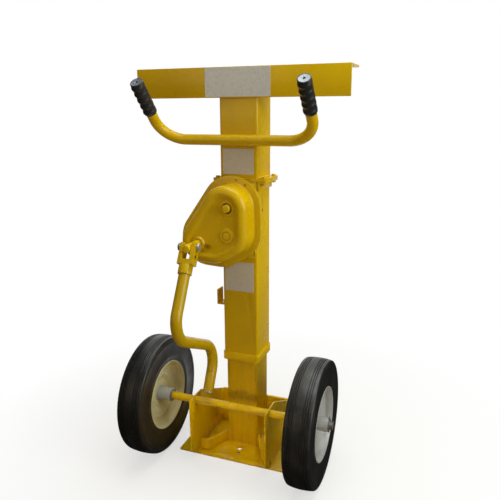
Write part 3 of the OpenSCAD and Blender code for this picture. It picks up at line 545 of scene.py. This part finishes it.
TOWARDS_USER = Matrix.Rotation(math.pi / 2, 4, "X")


def on_axle(x):
    return Matrix.Translation((x, AXLE.y, AXLE.z)) @ ALONG_X


class JackOperator:
    """Shared settings of the operators"""

    bl_options = {"REGISTER"}

    @property
    def colours(self):
        return bpy.context.scene.jack_colours

    @property
    def trim(self):
        return bpy.context.scene.jack_trim


class JACK_OT_finishes(JackOperator, bpy.types.Operator):
    """Makes the materials and puts one on every CAD node"""

    bl_idname = "jack.finishes"
    bl_label = "Finishes"

    BY_SLOT = {
        "enamel": "yellow_enamel", "tyre": "sidewall", "rim_paint": "wheel_paint", "zinc": "zinc_plate",
        "grip_cap": "cap_metal", "steel": "oiled_steel", "bronze": "bush_bronze", "grip_rubber": "grip_ribs",
    }

    def execute(self, context):
        edges = edge_group()
        self.mix_paints(paint_group(edges), streak_group(), stain_group())
        self.mix_rubbers(rubber_group(edges))
        self.mix_metals(metal_group(edges))
        for name, cad in NODES.items():
            cad.data.materials.clear()
            cad.data.materials.append(finish(self.BY_SLOT[slot_of(name)]))
        return {"FINISHED"}

    def mix_paints(self, paint, rub, stain):
        c = self.colours

        # A light below 1 scales the whole paint down: painted shade that makes darker copies of the one yellow
        # enamel
        def enamel(name, smears, corners, chips, light=1.0):
            return material(name, paint, {
                "Paint": opaque([v * light for v in c.enamel]),
                "Deep": opaque([v * light for v in c.enamel_deep]),
                "Dirt and shade": opaque(c.grime_and_shade), "Bare": opaque(c.bare),
                "Smears": smears, "Corners": corners, "Chips": chips,
            }, bump=0.10, Specular_IOR_Level=0.45)

        enamel("yellow_enamel", 0.14, 0.25, 0.4)
        # The crank's enamel carries painted shade
        enamel("crank_enamel", 0.14, 0.25, 0.4, 0.66)
        stained(*enamel("leg_enamel", 0.16, 0.25, 0.4), stain, [
            ((46, -10, 639), (4, 5, 6), c.rust, 0.95), ((46, -10, 664), (4, 2.5, 30), c.grime_and_shade, 0.5),
        ])
        stained(*enamel("cast_enamel", 0.12, 0.3, 0.25), stain, [
            ((-62, -99, 559), (14, 9, 9), c.grime_and_shade, 0.75), ((-74, -99, 545), (16, 9, 9), c.grime_and_shade, 0.35),
            ((19, -56, 704), (4, 4, 4), c.grime_and_shade, 0.95), ((-4, -56, 715), (6, 4, 4), c.grime_and_shade, 0.7),
        ])
        # The fork's enamel carries painted shade, besides its blots
        stained(*enamel("fork_enamel", 0.14, 0.3, 0.4, 0.78), stain, [
            ((-66, -158, 546), (4, 8, 8), c.grime_and_shade, 0.95), ((-66, -152, 556), (4, 4, 12), c.grime_and_shade, 0.7),
        ])
        # The inner leg's enamel carries painted shade, besides real rub marks and stains
        rubbed_shaded = enamel("rubbed_enamel", 0.22, 0.25, 0.4, 0.86)
        streaked(*rubbed_shaded, rub, c.grime_and_shade, Amount=0.45)
        stained(*rubbed_shaded, stain, [
            ((-17, -41, 154), (6, 4, 7), c.rust, 0.4), ((-23, -41, 136), (6, 4, 7), c.rust, 0.4),
            # A wide darker band across the inner leg just above the axle
            ((3, -41, 159), (24, 4, 10), c.grime_and_shade, 0.35),
        ])
        scraped = enamel("axle_enamel", 0.25, 0.3, 0.6)
        streaked(*scraped, rub, c.bare, Across=90.0, Along=9.0, Turn_to_X=1.0, Amount=0.6)
        # The second rim paint carries painted yellow bounce light
        for name, rgb in (("wheel_paint", c.rim), ("yellowed_paint", c.rim_yellow_bounce)):
            material(name, paint, {
                "Paint": opaque(rgb), "Deep": opaque([v * 0.84 for v in rgb]), "Dirt and shade": opaque(c.rim_dirt_and_shade),
                "Bare": opaque(c.bare), "Smears": 0.3, "Corners": 0.5, "Chips": 0.4,
            }, bump=0.08, Specular_IOR_Level=0.45)

    def mix_rubbers(self, rubber):
        c = self.colours
        for name, tone, patches, corners, bump, depth, gloss in (
            # The tread's heavy dusty patches are part dirt, part painted sheen
            ("tread", c.rubber, 0.8, 0.8, 0.25, 0.3, 0.7),
            ("sidewall", c.rubber, 0.3, 0.4, 0.25, 0.3, 0.7),
            ("grip_ribs", c.grip, 0.25, 0.15, 0.2, 0.2, 0.5),
        ):
            material(name, rubber, {
                "Rubber": opaque(tone), "Dust": opaque(c.dust_and_sheen), "Patches": patches, "Corners": corners,
            }, bump=bump, depth=depth * MM, Specular_IOR_Level=gloss)

    def mix_metals(self, metal):
        c = self.colours

        def plated(name, tone, stain, rusting, polish, bump, depth, metallic):
            material(name, metal, {
                "Metal": opaque(tone), "Rust": opaque(stain), "Rusting": rusting, "Polish": polish,
            }, bump=bump, depth=depth * MM, Metallic=metallic)

        for name, tone, rusting, polish in (
            ("zinc_plate", c.zinc, 0.12, 0.28), ("oiled_steel", c.steel, 0.1, 0.32),
            ("bush_bronze", c.bronze, 0.1, 0.35), ("cap_metal", c.cap, 0.05, 0.4),
            ("rusty_steel", c.steel, 0.9, 0.5),
        ):
            plated(name, tone, c.rust, rusting, polish, 0.12, 0.15, 0.85)
        plated("foil", c.foil, c.foil_stain, 0.25, 0.25, 0.8, 0.6, 0.3)
        plated("label", c.label, c.label_stain, 0.2, 0.35, 0.05, 0.1, 0.0)


class JACK_OT_steelwork(JackOperator, bpy.types.Operator):
    """Plates, tubes, beam and hook with rounded edges"""

    bl_idname = "jack.steelwork"
    bl_label = "Steelwork"

    STEEL = (
        "base_plate", "left_side_plate", "right_side_plate", "front_plate", "left_brace", "right_brace",
        "inner_leg", "axle", "outer_leg", "leg_collar", "leg_ears", "post_foot", "post", "bearing_beam",
        "crank_hook", "gearbox_back", "idler_pin", "output_shaft", "input_shaft",
    )
    LOOKS = {"inner_leg": "rubbed_enamel", "axle": "axle_enamel", "outer_leg": "leg_enamel"}

    def execute(self, context):
        for node in self.STEEL:
            made = dressed(node, self.LOOKS.get(node, "yellow_enamel"), self.trim.edge)
            if node == "axle":
                self.rust_ends(made.data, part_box("right_hub")[1].x)
        return {"FINISHED"}

    def rust_ends(self, mesh, beyond):
        """Bare rusty steel on the axle beyond the hubs"""
        mesh.materials.append(finish("rusty_steel"))
        bm = bmesh.new()
        bm.from_mesh(mesh)
        for x in (-beyond, beyond):
            everything = bm.verts[:] + bm.edges[:] + bm.faces[:]
            bmesh.ops.bisect_plane(bm, geom=everything, plane_co=(x, 0, 0), plane_no=(1, 0, 0))
        for face in bm.faces:
            face.material_index = 1 if abs(face.calc_center_median().x) > beyond else 0
        bm.to_mesh(mesh)
        bm.free()


class JACK_OT_gearbox(JackOperator, bpy.types.Operator):
    """Pressed gearbox cover: flange, round dome, sunk face and shaft bosses"""

    bl_idname = "jack.gearbox"
    bl_label = "Gearbox cover"

    POINTS = 192

    def execute(self, context):
        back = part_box("gearbox_cover")[1].y
        flange = back - 4 * MM
        crest = back - 54 * MM
        sunk = crest + 7 * MM
        drive, idler, shaft = (
            Vector(JOINTS[joint]["pos_m"]).xz for joint in ("output_turn", "idler_turn", "crank_swing")
        )
        # The cover's outline goes round these lobes, as it does in the CAD
        lobes = [
            (drive + Vector((-8, -4)) * MM, 57.04 * MM),
            (idler + Vector((-2, 2)) * MM, 53.93 * MM),
            (shaft + Vector((6, 4)) * MM, 52.31 * MM),
            ((idler + shaft) / 2 + Vector((0, -5)) * MM, 56.1 * MM),
        ]
        rings = [self.outline(lobes, grow * MM, y) for grow, y in self.section(back, flange, crest, sunk)]
        cover = piece("gearbox_cover_skin", ring_loft(rings), "mast", "cast_enamel",
                      ["gearbox_cover"], degrees=50)

        def on_face(at):
            return Matrix.Translation((at.x, sunk, at.y)) @ TOWARDS_USER

        def raised(name, at, points, soft):
            bm = lathe(filleted(in_mm(points), soft * MM, 6), on_face(at), 72)
            piece(name, bm, "mast", "cast_enamel")

        raised("output_boss", drive, [(13.2, -3), (25, -3), (21, 0.2), (16.5, 2.6), (13.2, 2.6)], 2.6)
        raised("idler_boss", idler, [(10, -3), (24, -3), (20, 0.2), (15, 3.6), (10, 3.6)], 2.6)
        raised("input_boss", shaft, [(10.2, -3), (20, -3), (17, 0.5), (13.6, 4.6), (10.2, 4.6)], 2.6)
        drip = Vector((-39, 575)) * MM
        raised("paint_drip", drip, [(0.2, -0.5), (2.3, -0.5), (1.9, 0.7), (0.2, 1.3)], 0.5)
        bm = bmesh.new()
        for at, r in ((drive, 13 * MM), (idler, 9.9 * MM), (shaft, 10.1 * MM)):
            bmesh.ops.create_cone(
                bm, cap_ends=True, segments=72, radius1=r, radius2=r, depth=30 * MM, matrix=on_face(at)
            )
        self.drill(context, cover, new_object("shaft_cutter", bm))
        return {"FINISHED"}

    def outline(self, lobes, grow, y):
        """Once round the lobes, grown outwards, at the depth y"""
        made = []
        for a in turns(self.POINTS):
            n = Vector((math.cos(a), math.sin(a)))
            centre, r = max(lobes, key=lambda lobe: lobe[0].dot(n) + lobe[1])
            p = centre + (r + grow) * n
            made.append((p.x, y, p.y))
        return made

    def section(self, back, flange, crest, sunk):
        """The pressing's section from inside to outside, as growth in millimetres and depth"""
        face = sunk + 3.5 * MM
        inside = [(-34, face), (-24, face), (-12, face + 2 * MM), (-6, face + 9 * MM), (-3.5, back)]
        outside = [
            (18, back), (18, flange + 1 * MM), (17.7, flange + 0.3 * MM), (17, flange), (5, flange),
            (2.6, flange - 0.5 * MM), (1.0, flange - 2 * MM), (0.2, flange - 5 * MM),
            (-0.4, flange - 15 * MM), (-1.2, flange - 30 * MM),
        ]
        crown = [
            (-17.5 + 16 * math.cos(a), crest + 16 * MM - 16 * MM * math.sin(a))
            for a in (math.radians(9 * k) for k in range(1, 11))
        ]
        dip = [(-18.5 - 10 * t, crest + 7 * MM * t * t * (2 - t)) for t in (k / 8 for k in range(9))]
        return inside + outside + crown + dip + [(-36, sunk)]

    def drill(self, context, cover, cutter):
        """Cuts the shaft holes for good and takes the cutter away"""
        cut = cover.modifiers.new("Shaft holes", "BOOLEAN")
        cut.object = cutter
        cut.operation = "DIFFERENCE"
        cut.solver = "EXACT"
        context.view_layer.update()
        drilled = bpy.data.meshes.new_from_object(cover.evaluated_get(context.evaluated_depsgraph_get()))
        cover.modifiers.clear()
        cover.data = drilled
        bpy.data.objects.remove(cutter)


class JACK_OT_wheels(JackOperator, bpy.types.Operator):
    """Ribbed solid tyres, pressed rims and hubs"""

    bl_idname = "jack.wheels"
    bl_label = "Wheels"

    SEAT_R = 84.0
    LIP_R = 88.5

    def execute(self, context):
        for side_name, sign in SIDES.items():
            x = sign * abs(middle("left_tyre").x)
            body = side_name + "_wheel"
            self.tyre(side_name, x, body)
            hub_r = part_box(side_name + "_hub")[1].z / MM - AXLE.z / MM
            section = filleted(in_mm(mirrored(self.rim_half(hub_r + 0.02))), 1.6 * MM)
            # The left rim wears the paint with painted yellow bounce light
            piece(side_name + "_rim_skin", lathe(section, on_axle(x), 128), body,
                  "yellowed_paint" if sign < 0 else "wheel_paint", [side_name + "_rim"])
            bore, reach = 12.5, 40
            hub = in_mm([(bore, -reach), (hub_r, -reach), (hub_r, reach), (bore, reach)])
            piece(side_name + "_hub_skin", lathe(filleted(hub, 1.2 * MM), on_axle(x), 64), body,
                  "wheel_paint", [side_name + "_hub"])
            for facing in (-1, 1):
                bead = in_mm(arc((hub_r + 0.5, facing * 3.0), 2.4, 0, 360, 12)[:-1])
                end = "out" if facing == sign else "in"
                piece("%s_hub_weld_%s" % (side_name, end), lathe(bead, on_axle(x), 64), body,
                      "wheel_paint")
        return {"FINISHED"}

    def tyre(self, side_name, x, body):
        section = in_mm(mirrored(self.tyre_half()))
        made = piece(side_name + "_tyre_skin", lathe(section, on_axle(x), 160), body,
                     ["tread", "sidewall"], [side_name + "_tyre"], degrees=40)
        for face in made.data.polygons:
            reach = math.hypot(face.center.y - AXLE.y, face.center.z - AXLE.z)
            face.material_index = 0 if reach > WHEEL_R - 11 * MM else 1

    def tyre_half(self):
        """Half of the tyre's section in millimetres, from the tread's middle to the seat"""
        r, half, groove = WHEEL_R / MM, TYRE_HALF / MM, self.trim.groove / MM
        shoulder, crown = 4.5, 2.5
        tread = [(r, 0.0), (r - 0.1, 4.0), (r - 0.3, 8.0)]
        for x in (11.0, 15.8, 20.6):
            top = r - crown * (x / (half - shoulder)) ** 2
            tread += [(top, x - 1.2), (top - groove, x - 0.8), (top - groove, x + 0.8), (top, x + 1.2)]
        side = arc((r - crown - shoulder, half - shoulder), shoulder, 0, 90, 8)
        # Each point of the wall: how far in from the tread, how far back from the side
        wall = (
            (11.5, 0), (12.2, 0.7), (14.2, 0.7), (15.0, 0.1), (24, 1.0), (36, 1.2), (47, 0.5), (51, 0.1),
            (54, 0.3), (57, 1.4),
        )
        bead = self.LIP_R + 0.1
        seat = [(bead, half - 1.6), (bead, half - 4.5), (self.SEAT_R + 0.1, half - 9.0)]
        return tread + side + [(r - inwards, half - back) for inwards, back in wall] + seat

    def rim_half(self, hub_r):
        """Half of the rim's section in millimetres, from the hub to the lip and back to the seat"""
        half, lip, seat, web, t = TYRE_HALF / MM, self.LIP_R, self.SEAT_R, 9.0, 2.5
        return [
            (hub_r, 0), (hub_r, t), (hub_r + 8, t), (hub_r + 10, t + 1.6), (hub_r + 17, t + 1.6),
            (hub_r + 20, t), (hub_r + 32, web), (56, web), (58, web + 1.8), (63, web + 1.8), (65, web),
            (seat - 10, web), (seat - 4, web + 4), (seat - t, half - 9), (lip - t, half - 0.3),
            (lip, half - 0.3), (lip, half - 4.5), (seat, half - 9),
        ]


class JACK_OT_handle(JackOperator, bpy.types.Operator):
    """Bent handle tube with ridged rubber grips and caps"""

    bl_idname = "jack.handle"
    bl_label = "Handle"

    def execute(self, context):
        half, bend, reach, grip_from = 190 * MM, 62 * MM, 167 * MM, 83 * MM
        straight = bend + 40 * MM
        path = [(-half, reach), (-half, straight)]
        path += arc((-half + bend, bend), bend, 180, 270, 20)
        path += [(x * half / 4, 0.0) for x in (-2, -1, 0, 1, 2)]
        path += arc((half - bend, bend), bend, 270, 360, 20)
        path += [(half, straight), (half, reach)]
        tube = sweep([BAR @ Vector((x, 0, z)) for x, z in path], BAR_D / 2, 40)
        piece("handlebar_skin", tube, "mast", "yellow_enamel", ["handlebar"])
        for side_name, sign in SIDES.items():
            self.grip(side_name, BAR @ Matrix.Translation((sign * half, 0, grip_from)))
            self.cap(side_name, BAR @ Matrix.Translation((sign * half, 0, reach)))
        return {"FINISHED"}

    def grip(self, side_name, place):
        """Rubber sleeve whose finger ridges stand out underneath"""
        grip_l, grip_r, soft_end = 84 * MM, 14.9 * MM, 1.5 * MM
        fingers, rows = 5, 100
        rings = []
        for k in range(rows + 1):
            z = grip_l * k / rows
            swell = (0.5 - 0.5 * math.cos(2 * math.pi * fingers * k / rows)) ** 1.6
            near = max(0.0, soft_end - min(z, grip_l - z))
            ring = []
            for a in turns(64):
                under = 0.2 + 0.8 * max(0.0, -math.sin(a)) ** 1.3
                r = grip_r - 0.6 * near + self.trim.ridge * swell * under
                ring.append(place @ Vector((r * math.cos(a), r * math.sin(a), z)))
            rings.append(ring)
        piece(side_name + "_grip_skin", ring_loft(rings), "mast", "grip_ribs",
              [side_name + "_grip"])

    def cap(self, side_name, place):
        """End cap with a small hole, its rim as black as the grip"""
        rim_from = 12.4 * MM
        section = in_mm([
            (2.2, -14), (9.9, -14), (9.9, 0), (14.8, 0), (14.8, 2.4), (12.6, 3), (12.2, 2.6), (3.6, 2.6),
            (2.2, 1.6),
        ])
        bm = lathe(filleted(section, 0.5 * MM, 3), place, 64)
        made = piece(side_name + "_grip_cap_skin", bm, "mast", ["cap_metal", "grip_ribs"],
                     [side_name + "_grip_cap"])
        for face in made.data.polygons:
            local = place.inverted() @ face.center
            face.material_index = 1 if math.hypot(local.x, local.y) > rim_from else 0


class JACK_OT_crank(JackOperator, bpy.types.Operator):
    """Folding crank: fork, bent tube, turning sleeve and washer"""

    bl_idname = "jack.crank"
    bl_label = "Crank"

    def execute(self, context):
        r, bend = 13.5 * MM, 53 * MM
        arm, throw, rise = 218.5 * MM, 242 * MM, math.radians(7.5)
        turn = math.pi / 2 + rise
        run = bend * math.tan(turn / 2)
        corner = Vector((throw * math.cos(rise), throw * math.sin(rise) - arm))
        bent = HANGING @ Matrix.Rotation(math.pi / 2, 4, "Z")
        place = bent @ Matrix.Translation((corner.x, 0, 0))

        def heights(node):
            levels = [(bent.inverted() @ v.co).z for v in NODES[node].data.vertices]
            return min(levels), max(levels)

        end = heights("crank_tube")[0]
        low, seam = heights("crank_sleeve")
        path = [(0.0, -44 * MM), (0.0, -100 * MM)]
        path += arc((bend, run - arm), bend, 180, 180 + math.degrees(turn), 28)
        path += arc((corner.x - bend, corner.y - run), bend, math.degrees(turn), 0, 28)
        path += [(corner.x, seam + 0.3 * MM)]
        tube = sweep([bent @ Vector((x, 0, z)) for x, z in path], r, 40)
        piece("crank_tube_skin", tube, "crank", "crank_enamel", ["crank_tube"])
        bore, pin, top = 2 * MM, 9.9 * MM, seam + 1 * MM
        spigot = filleted([(bore, end), (pin, end), (pin, top), (bore, top)], 1 * MM)
        # The spigot's dark rusty steel makes the seam under the sleeve read dark: painted shade in the gap
        piece("crank_spigot", lathe(spigot, place, 48), "crank", "rusty_steel")
        bore = 10 * MM
        sleeve = filleted([(bore, low), (r, low), (r, seam), (bore, seam)], 1.2 * MM)
        piece("crank_sleeve_skin", lathe(sleeve, place, 64), "sleeve", "crank_enamel",
              ["crank_sleeve"])
        dressed("sleeve_washer", "zinc_plate", 0.6 * MM)
        dressed("crank_fork", "fork_enamel", 0.8 * MM, 3)
        under, upper = r - 1 * MM, -66.4 * MM
        bead = [(under, -68 * MM), (r + 1.6 * MM, -67.2 * MM), (r + 2 * MM, upper), (under, upper)]
        piece("ferrule_weld", lathe(filleted(bead, 0.8 * MM), HANGING, 64), "crank", "crank_enamel")
        return {"FINISHED"}


class JACK_OT_fasteners(JackOperator, bpy.types.Operator):
    """Bolts, nuts, washers and split pins"""

    bl_idname = "jack.fasteners"
    bl_label = "Fasteners"

    def execute(self, context):
        for node, look, rounding in (
            ("flange_bolts", "yellow_enamel", 0.6), ("flange_nuts", "yellow_enamel", 0.5),
            ("fork_bolt", "zinc_plate", 0.9), ("fork_nut", "zinc_plate", 0.8),
            ("axle_washers", "rusty_steel", 0.5),
        ):
            dressed(node, look, rounding * MM)
        wire_r, eye_r, gap = 1.16 * MM, 2.6 * MM, 0.75 * MM
        low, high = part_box("cotter_pins")
        eye = arc((0.0, high.z - 4 * MM), eye_r, -60, 240, 20)
        leg = [(gap, AXLE.z - 10 * MM), (gap, AXLE.z - 13 * MM), (6 * MM, low.z + 1.5 * MM)]
        wire = leg[::-1] + eye + [(-y, z) for y, z in leg]
        for side_name, sign in SIDES.items():
            x = sign * (high.x - 4.5 * MM)
            points = [(x, AXLE.y + y, z) for y, z in wire]
            piece(side_name + "_cotter_pin", sweep(points, wire_r, 12), "base", "rusty_steel",
                  ["cotter_pins"] if sign < 0 else ())
        return {"FINISHED"}


class JACK_OT_welds(JackOperator, bpy.types.Operator):
    """Weld beads along the joints of the steelwork"""

    bl_idname = "jack.welds"
    bl_label = "Welds"

    def execute(self, context):
        """Ends of the beads are in millimetres"""
        inside, outside = (corner.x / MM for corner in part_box("right_side_plate"))
        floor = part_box("base_plate")[1].z / MM + 0.2
        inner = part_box("inner_leg")[1].x / MM + 0.3
        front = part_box("front_plate")[0].y / MM - 0.4
        front_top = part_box("front_plate")[1].z / MM
        leg = LEG_FACE / MM + 0.3
        post = POST_FACE / MM + 0.2
        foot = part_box("post_foot")[1].z / MM + 0.2
        brace_top = floor + 28
        bead = self.bead
        for side, s in SIDES.items():
            x = s * (outside + 0.4)
            bead(side + "_plate_out", "base", (x, -100, floor), (x, 108, floor))
            x = s * (inside - 0.4)
            bead(side + "_plate_in", "base", (x, -110, floor), (x, 52, floor))
            x = s * (inside - 0.6)
            bead(side + "_front", "base", (x, front, floor + 4), (x, front, front_top - 5))
            bead(side + "_brace_plate", "base", (x, -98.3, floor + 2), (x, -98.3, brace_top), 0.8)
            x, y = s * inner, 5.2 - inner
            bead(side + "_leg_base", "base", (x, -34, floor), (x, 34, floor))
            bead(side + "_brace_leg", "base", (x, y, floor + 2), (x, y, brace_top), 0.8)
            x = s * post
            bead(side + "_foot", "mast", (x, -38, foot), (x, 38, foot))
            bead(side + "_beam_post", "mast", (x, -post, 906), (x, -post, 960), 1.2)
            bead(side + "_beam_top", "mast", (x, -40, 965.6), (x, 30, 965.6))
            bead(side + "_ear", "mast", (s * leg, -40, 690), (s * leg, 40, 690), 0.8)
            bead(side + "_gearbox", "mast", (s * 41, -leg - 0.4, 530), (s * 41, -leg - 0.4, 700))
        bead("rear_leg_base", "base", (-34, -inner, floor), (34, -inner, floor))
        bead("front_base", "base", (-90, front, floor), (90, front, floor))
        bead("rear_foot", "mast", (-36, -post, foot), (36, -post, foot), 0.8)
        bead("front_foot", "mast", (-36, post, foot), (36, post, foot))
        bead("bar_over", "mast", (-39, -post - 1.2, 816), (39, -post - 1.2, 816), 1.3)
        bead("bar_under", "mast", (-39, -post - 1.2, 800), (39, -post - 1.2, 800), 1.3)
        bead("beam_under", "mast", (-40, -post - 0.3, 902.8), (40, -post - 0.3, 902.8))
        bead("hook_over", "mast", (-leg, -13, 389), (-leg, 13, 389), 0.8)
        bead("hook_under", "mast", (-leg, -13, 383.6), (-leg, 13, 383.6), 0.8)
        return {"FINISHED"}

    def bead(self, name, body, start, end, size=1.0):
        """A rippled bead between two places, thinner at its ends"""
        r, ripple = self.trim.weld, self.trim.ripple
        start, end = Vector(start) * MM, Vector(end) * MM
        reach = (end - start).length
        count = max(4, int(reach / (ripple / 4)))
        points = [start.lerp(end, k / count) for k in range(count + 1)]

        def swell(run):
            taper = min(1.0, 0.35 + min(run, reach - run) / (2 * r))
            return size * r * (0.86 + 0.14 * math.cos(2 * math.pi * run / ripple)) * taper

        piece("weld_" + name, sweep(points, swell, 10), body, "yellow_enamel")


class JACK_OT_labels(JackOperator, bpy.types.Operator):
    """Bare labels on beam, post and leg"""

    bl_idname = "jack.labels"
    bl_label = "Labels"

    def execute(self, context):
        beam_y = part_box("bearing_beam")[0].y
        # Left, right, lower and upper edge in millimetres, then the face behind, slot and finish
        for name, x0, x1, z0, z1, y, slot, look in (
            ("beam_label", -80, 80, 905, 970, beam_y, "grip_cap", "foil"),
            ("post_label", -40, 38, 728, 788, -POST_FACE, "enamel", "label"),
            ("leg_label", -40, 36, 437, 512, -LEG_FACE, "enamel", "label"),
        ):
            place = Matrix.Translation(((x0 + x1) / 2 * MM, y, (z0 + z1) / 2 * MM)) @ TOWARDS_USER
            bm = plate((x1 - x0) * MM, (z1 - z0) * MM, self.trim.label_t, 1.5 * MM, place)
            piece(name, bm, "mast", look)
        return {"FINISHED"}


class JACK_OT_stage(JackOperator, bpy.types.Operator):
    """Floor, lights and camera"""

    bl_idname = "jack.stage"
    bl_label = "Stage"

    def execute(self, context):
        scene = context.scene
        scene.view_settings.view_transform = "Standard"
        sheet = sheet_group()
        self.lay_floor(scene.jack_stage, sheet)
        self.light_room(scene, scene.jack_stage, sheet)
        self.hang_lights(scene, scene.jack_stage)
        self.place_camera(scene, scene.jack_stage)
        return {"FINISHED"}

    def lay_floor(self, stage, sheet):
        """White floor that keeps the object's shadow"""
        look = bpy.data.materials.new("floor")
        look.use_nodes = True
        tree = look.node_tree
        shader = tree.nodes["Principled BSDF"]
        path = add(tree, "LightPath").outputs
        shade = tint(tree, path["Is Camera Ray"], opaque(stage.bounce), (0.9, 0.9, 0.9, 1.0))
        tree.links.new(shade, shader.inputs["Base Color"])
        shader.inputs["Roughness"].default_value = 0.9
        shader.inputs["Specular IOR Level"].default_value = 0.1
        place = add(tree, "NewGeometry").outputs["Position"]
        bright = blend(tree, path["Is Glossy Ray"], 1.0, placed(tree, sheet, Heading=place)["Share"])
        white = add(tree, "Emission", {"Color": WHITE, "Strength": bright}).outputs[0]
        away = add(tree, "VectorMath", {0: place}, operation="LENGTH").outputs["Value"]
        seen = calc(tree, "MAXIMUM", path["Is Camera Ray"], path["Is Transmission Ray"])
        seen = times(tree, seen, span(tree, away, 0.25, 0.8, 0.6, 1.0))
        seen = calc(tree, "MAXIMUM", seen, path["Is Glossy Ray"])
        mixed = add(tree, "MixShader", {0: seen, 1: shader.outputs[0], 2: white})
        tree.links.new(mixed.outputs[0], tree.nodes["Material Output"].inputs["Surface"])
        bm = bmesh.new()
        bmesh.ops.create_circle(bm, cap_ends=True, segments=96, radius=12.0)
        floor = new_object("floor", bm)
        floor.data.materials.append(look)
        floor.location.z = -0.5 * MM

    def light_room(self, scene, stage, sheet):
        """Warm light from all round, white where the camera or a reflection looks"""
        world = bpy.data.worlds.new("studio")
        scene.world = world
        world.use_nodes = True
        tree = world.node_tree
        path = add(tree, "LightPath").outputs
        share = placed(tree, sheet, Heading=add(tree, "TexCoord").outputs["Generated"])["Share"]
        seen = calc(tree, "MAXIMUM", path["Is Camera Ray"], path["Is Transmission Ray"])
        glow = blend(tree, path["Is Glossy Ray"], stage.ambient, share)
        back = tree.nodes["Background"]
        tree.links.new(calc(tree, "MAXIMUM", seen, glow), back.inputs["Strength"])
        plain = calc(tree, "MAXIMUM", seen, path["Is Glossy Ray"])
        tree.links.new(tint(tree, plain, opaque(stage.room), WHITE), back.inputs["Color"])

    def hang_lights(self, scene, stage):
        def softbox(name, at, towards, size, power, rgb, glossy=True, spread=180):
            lamp = bpy.data.lights.new(name, "AREA")
            lamp.shape = "RECTANGLE"
            lamp.size, lamp.size_y = size
            lamp.energy = power
            lamp.color = rgb
            lamp.spread = math.radians(spread)
            made = bpy.data.objects.new(name, lamp)
            made.location = at
            made.rotation_euler = (Vector(towards) - Vector(at)).to_track_quat("-Z", "Y").to_euler()
            made.visible_glossy = glossy
            scene.collection.objects.link(made)

        day, room, aim = stage.daylight, stage.room, (0, 0, 0.5)
        softbox("top_light", (0.3, 0.2, 2.5), aim, (1.8, 1.8), stage.top_power, day)
        softbox("side_light", (2.4, -0.5, 1.4), aim, (1.4, 1.8), stage.side_power, day)
        softbox("front_light", (-1.2, -2.6, 1.6), aim, (1.6, 1.6), stage.front_power, room)
        softbox("low_light", (0.3, -1.3, 0.3), (0, 0, 0.08), (0.3, 0.2), stage.low_power, room, False, 24)

    def place_camera(self, scene, stage):
        camera = bpy.data.cameras.new("camera")
        camera.sensor_width = 36.0
        camera.lens = stage.lens
        camera.clip_start = 0.01
        az, pitch, roll = (math.radians(v) for v in (stage.azimuth, stage.pitch, stage.roll))
        ahead = Vector((-math.sin(az) * math.cos(pitch), math.cos(az) * math.cos(pitch), -math.sin(pitch)))
        level = Vector((math.cos(az), math.sin(az), 0))
        upright = level.cross(ahead)
        right = level * math.cos(roll) + upright * math.sin(roll)
        up = upright * math.cos(roll) - level * math.sin(roll)
        made = bpy.data.objects.new("camera", camera)
        made.matrix_world = Matrix.Translation(stage.eye) @ Matrix((right, up, -ahead)).transposed().to_4x4()
        scene.collection.objects.link(made)
        scene.camera = made


OPERATORS = (
    JACK_OT_finishes, JACK_OT_steelwork, JACK_OT_gearbox, JACK_OT_wheels, JACK_OT_handle, JACK_OT_crank,
    JACK_OT_fasteners, JACK_OT_welds, JACK_OT_labels, JACK_OT_stage,
)


class JACK_PT_panel(bpy.types.Panel):
    """Sidebar panel of the jack's building steps"""

    bl_idname = "JACK_PT_panel"
    bl_label = "Wheeled trailer jack"
    bl_space_type = "VIEW_3D"
    bl_region_type = "UI"
    bl_category = "Jack"

    def draw(self, context):
        for step in OPERATORS:
            self.layout.operator(step.bl_idname)


GROUPS = {"jack_colours": JackColours, "jack_trim": JackTrim, "jack_stage": JackStage}


def register():
    for name, kind in GROUPS.items():
        bpy.utils.register_class(kind)
        setattr(bpy.types.Scene, name, bpy.props.PointerProperty(type=kind))
    for kind in OPERATORS + (JACK_PT_panel,):
        bpy.utils.register_class(kind)


def unregister():
    for kind in reversed(OPERATORS + (JACK_PT_panel,)):
        bpy.utils.unregister_class(kind)
    for name, kind in GROUPS.items():
        delattr(bpy.types.Scene, name)
        bpy.utils.unregister_class(kind)


def main():
    register()
    for step in OPERATORS:
        getattr(bpy.ops.jack, step.bl_idname.split(".")[1])()
    bpy.context.view_layer.update()


if __name__ == "__main__":
    main()
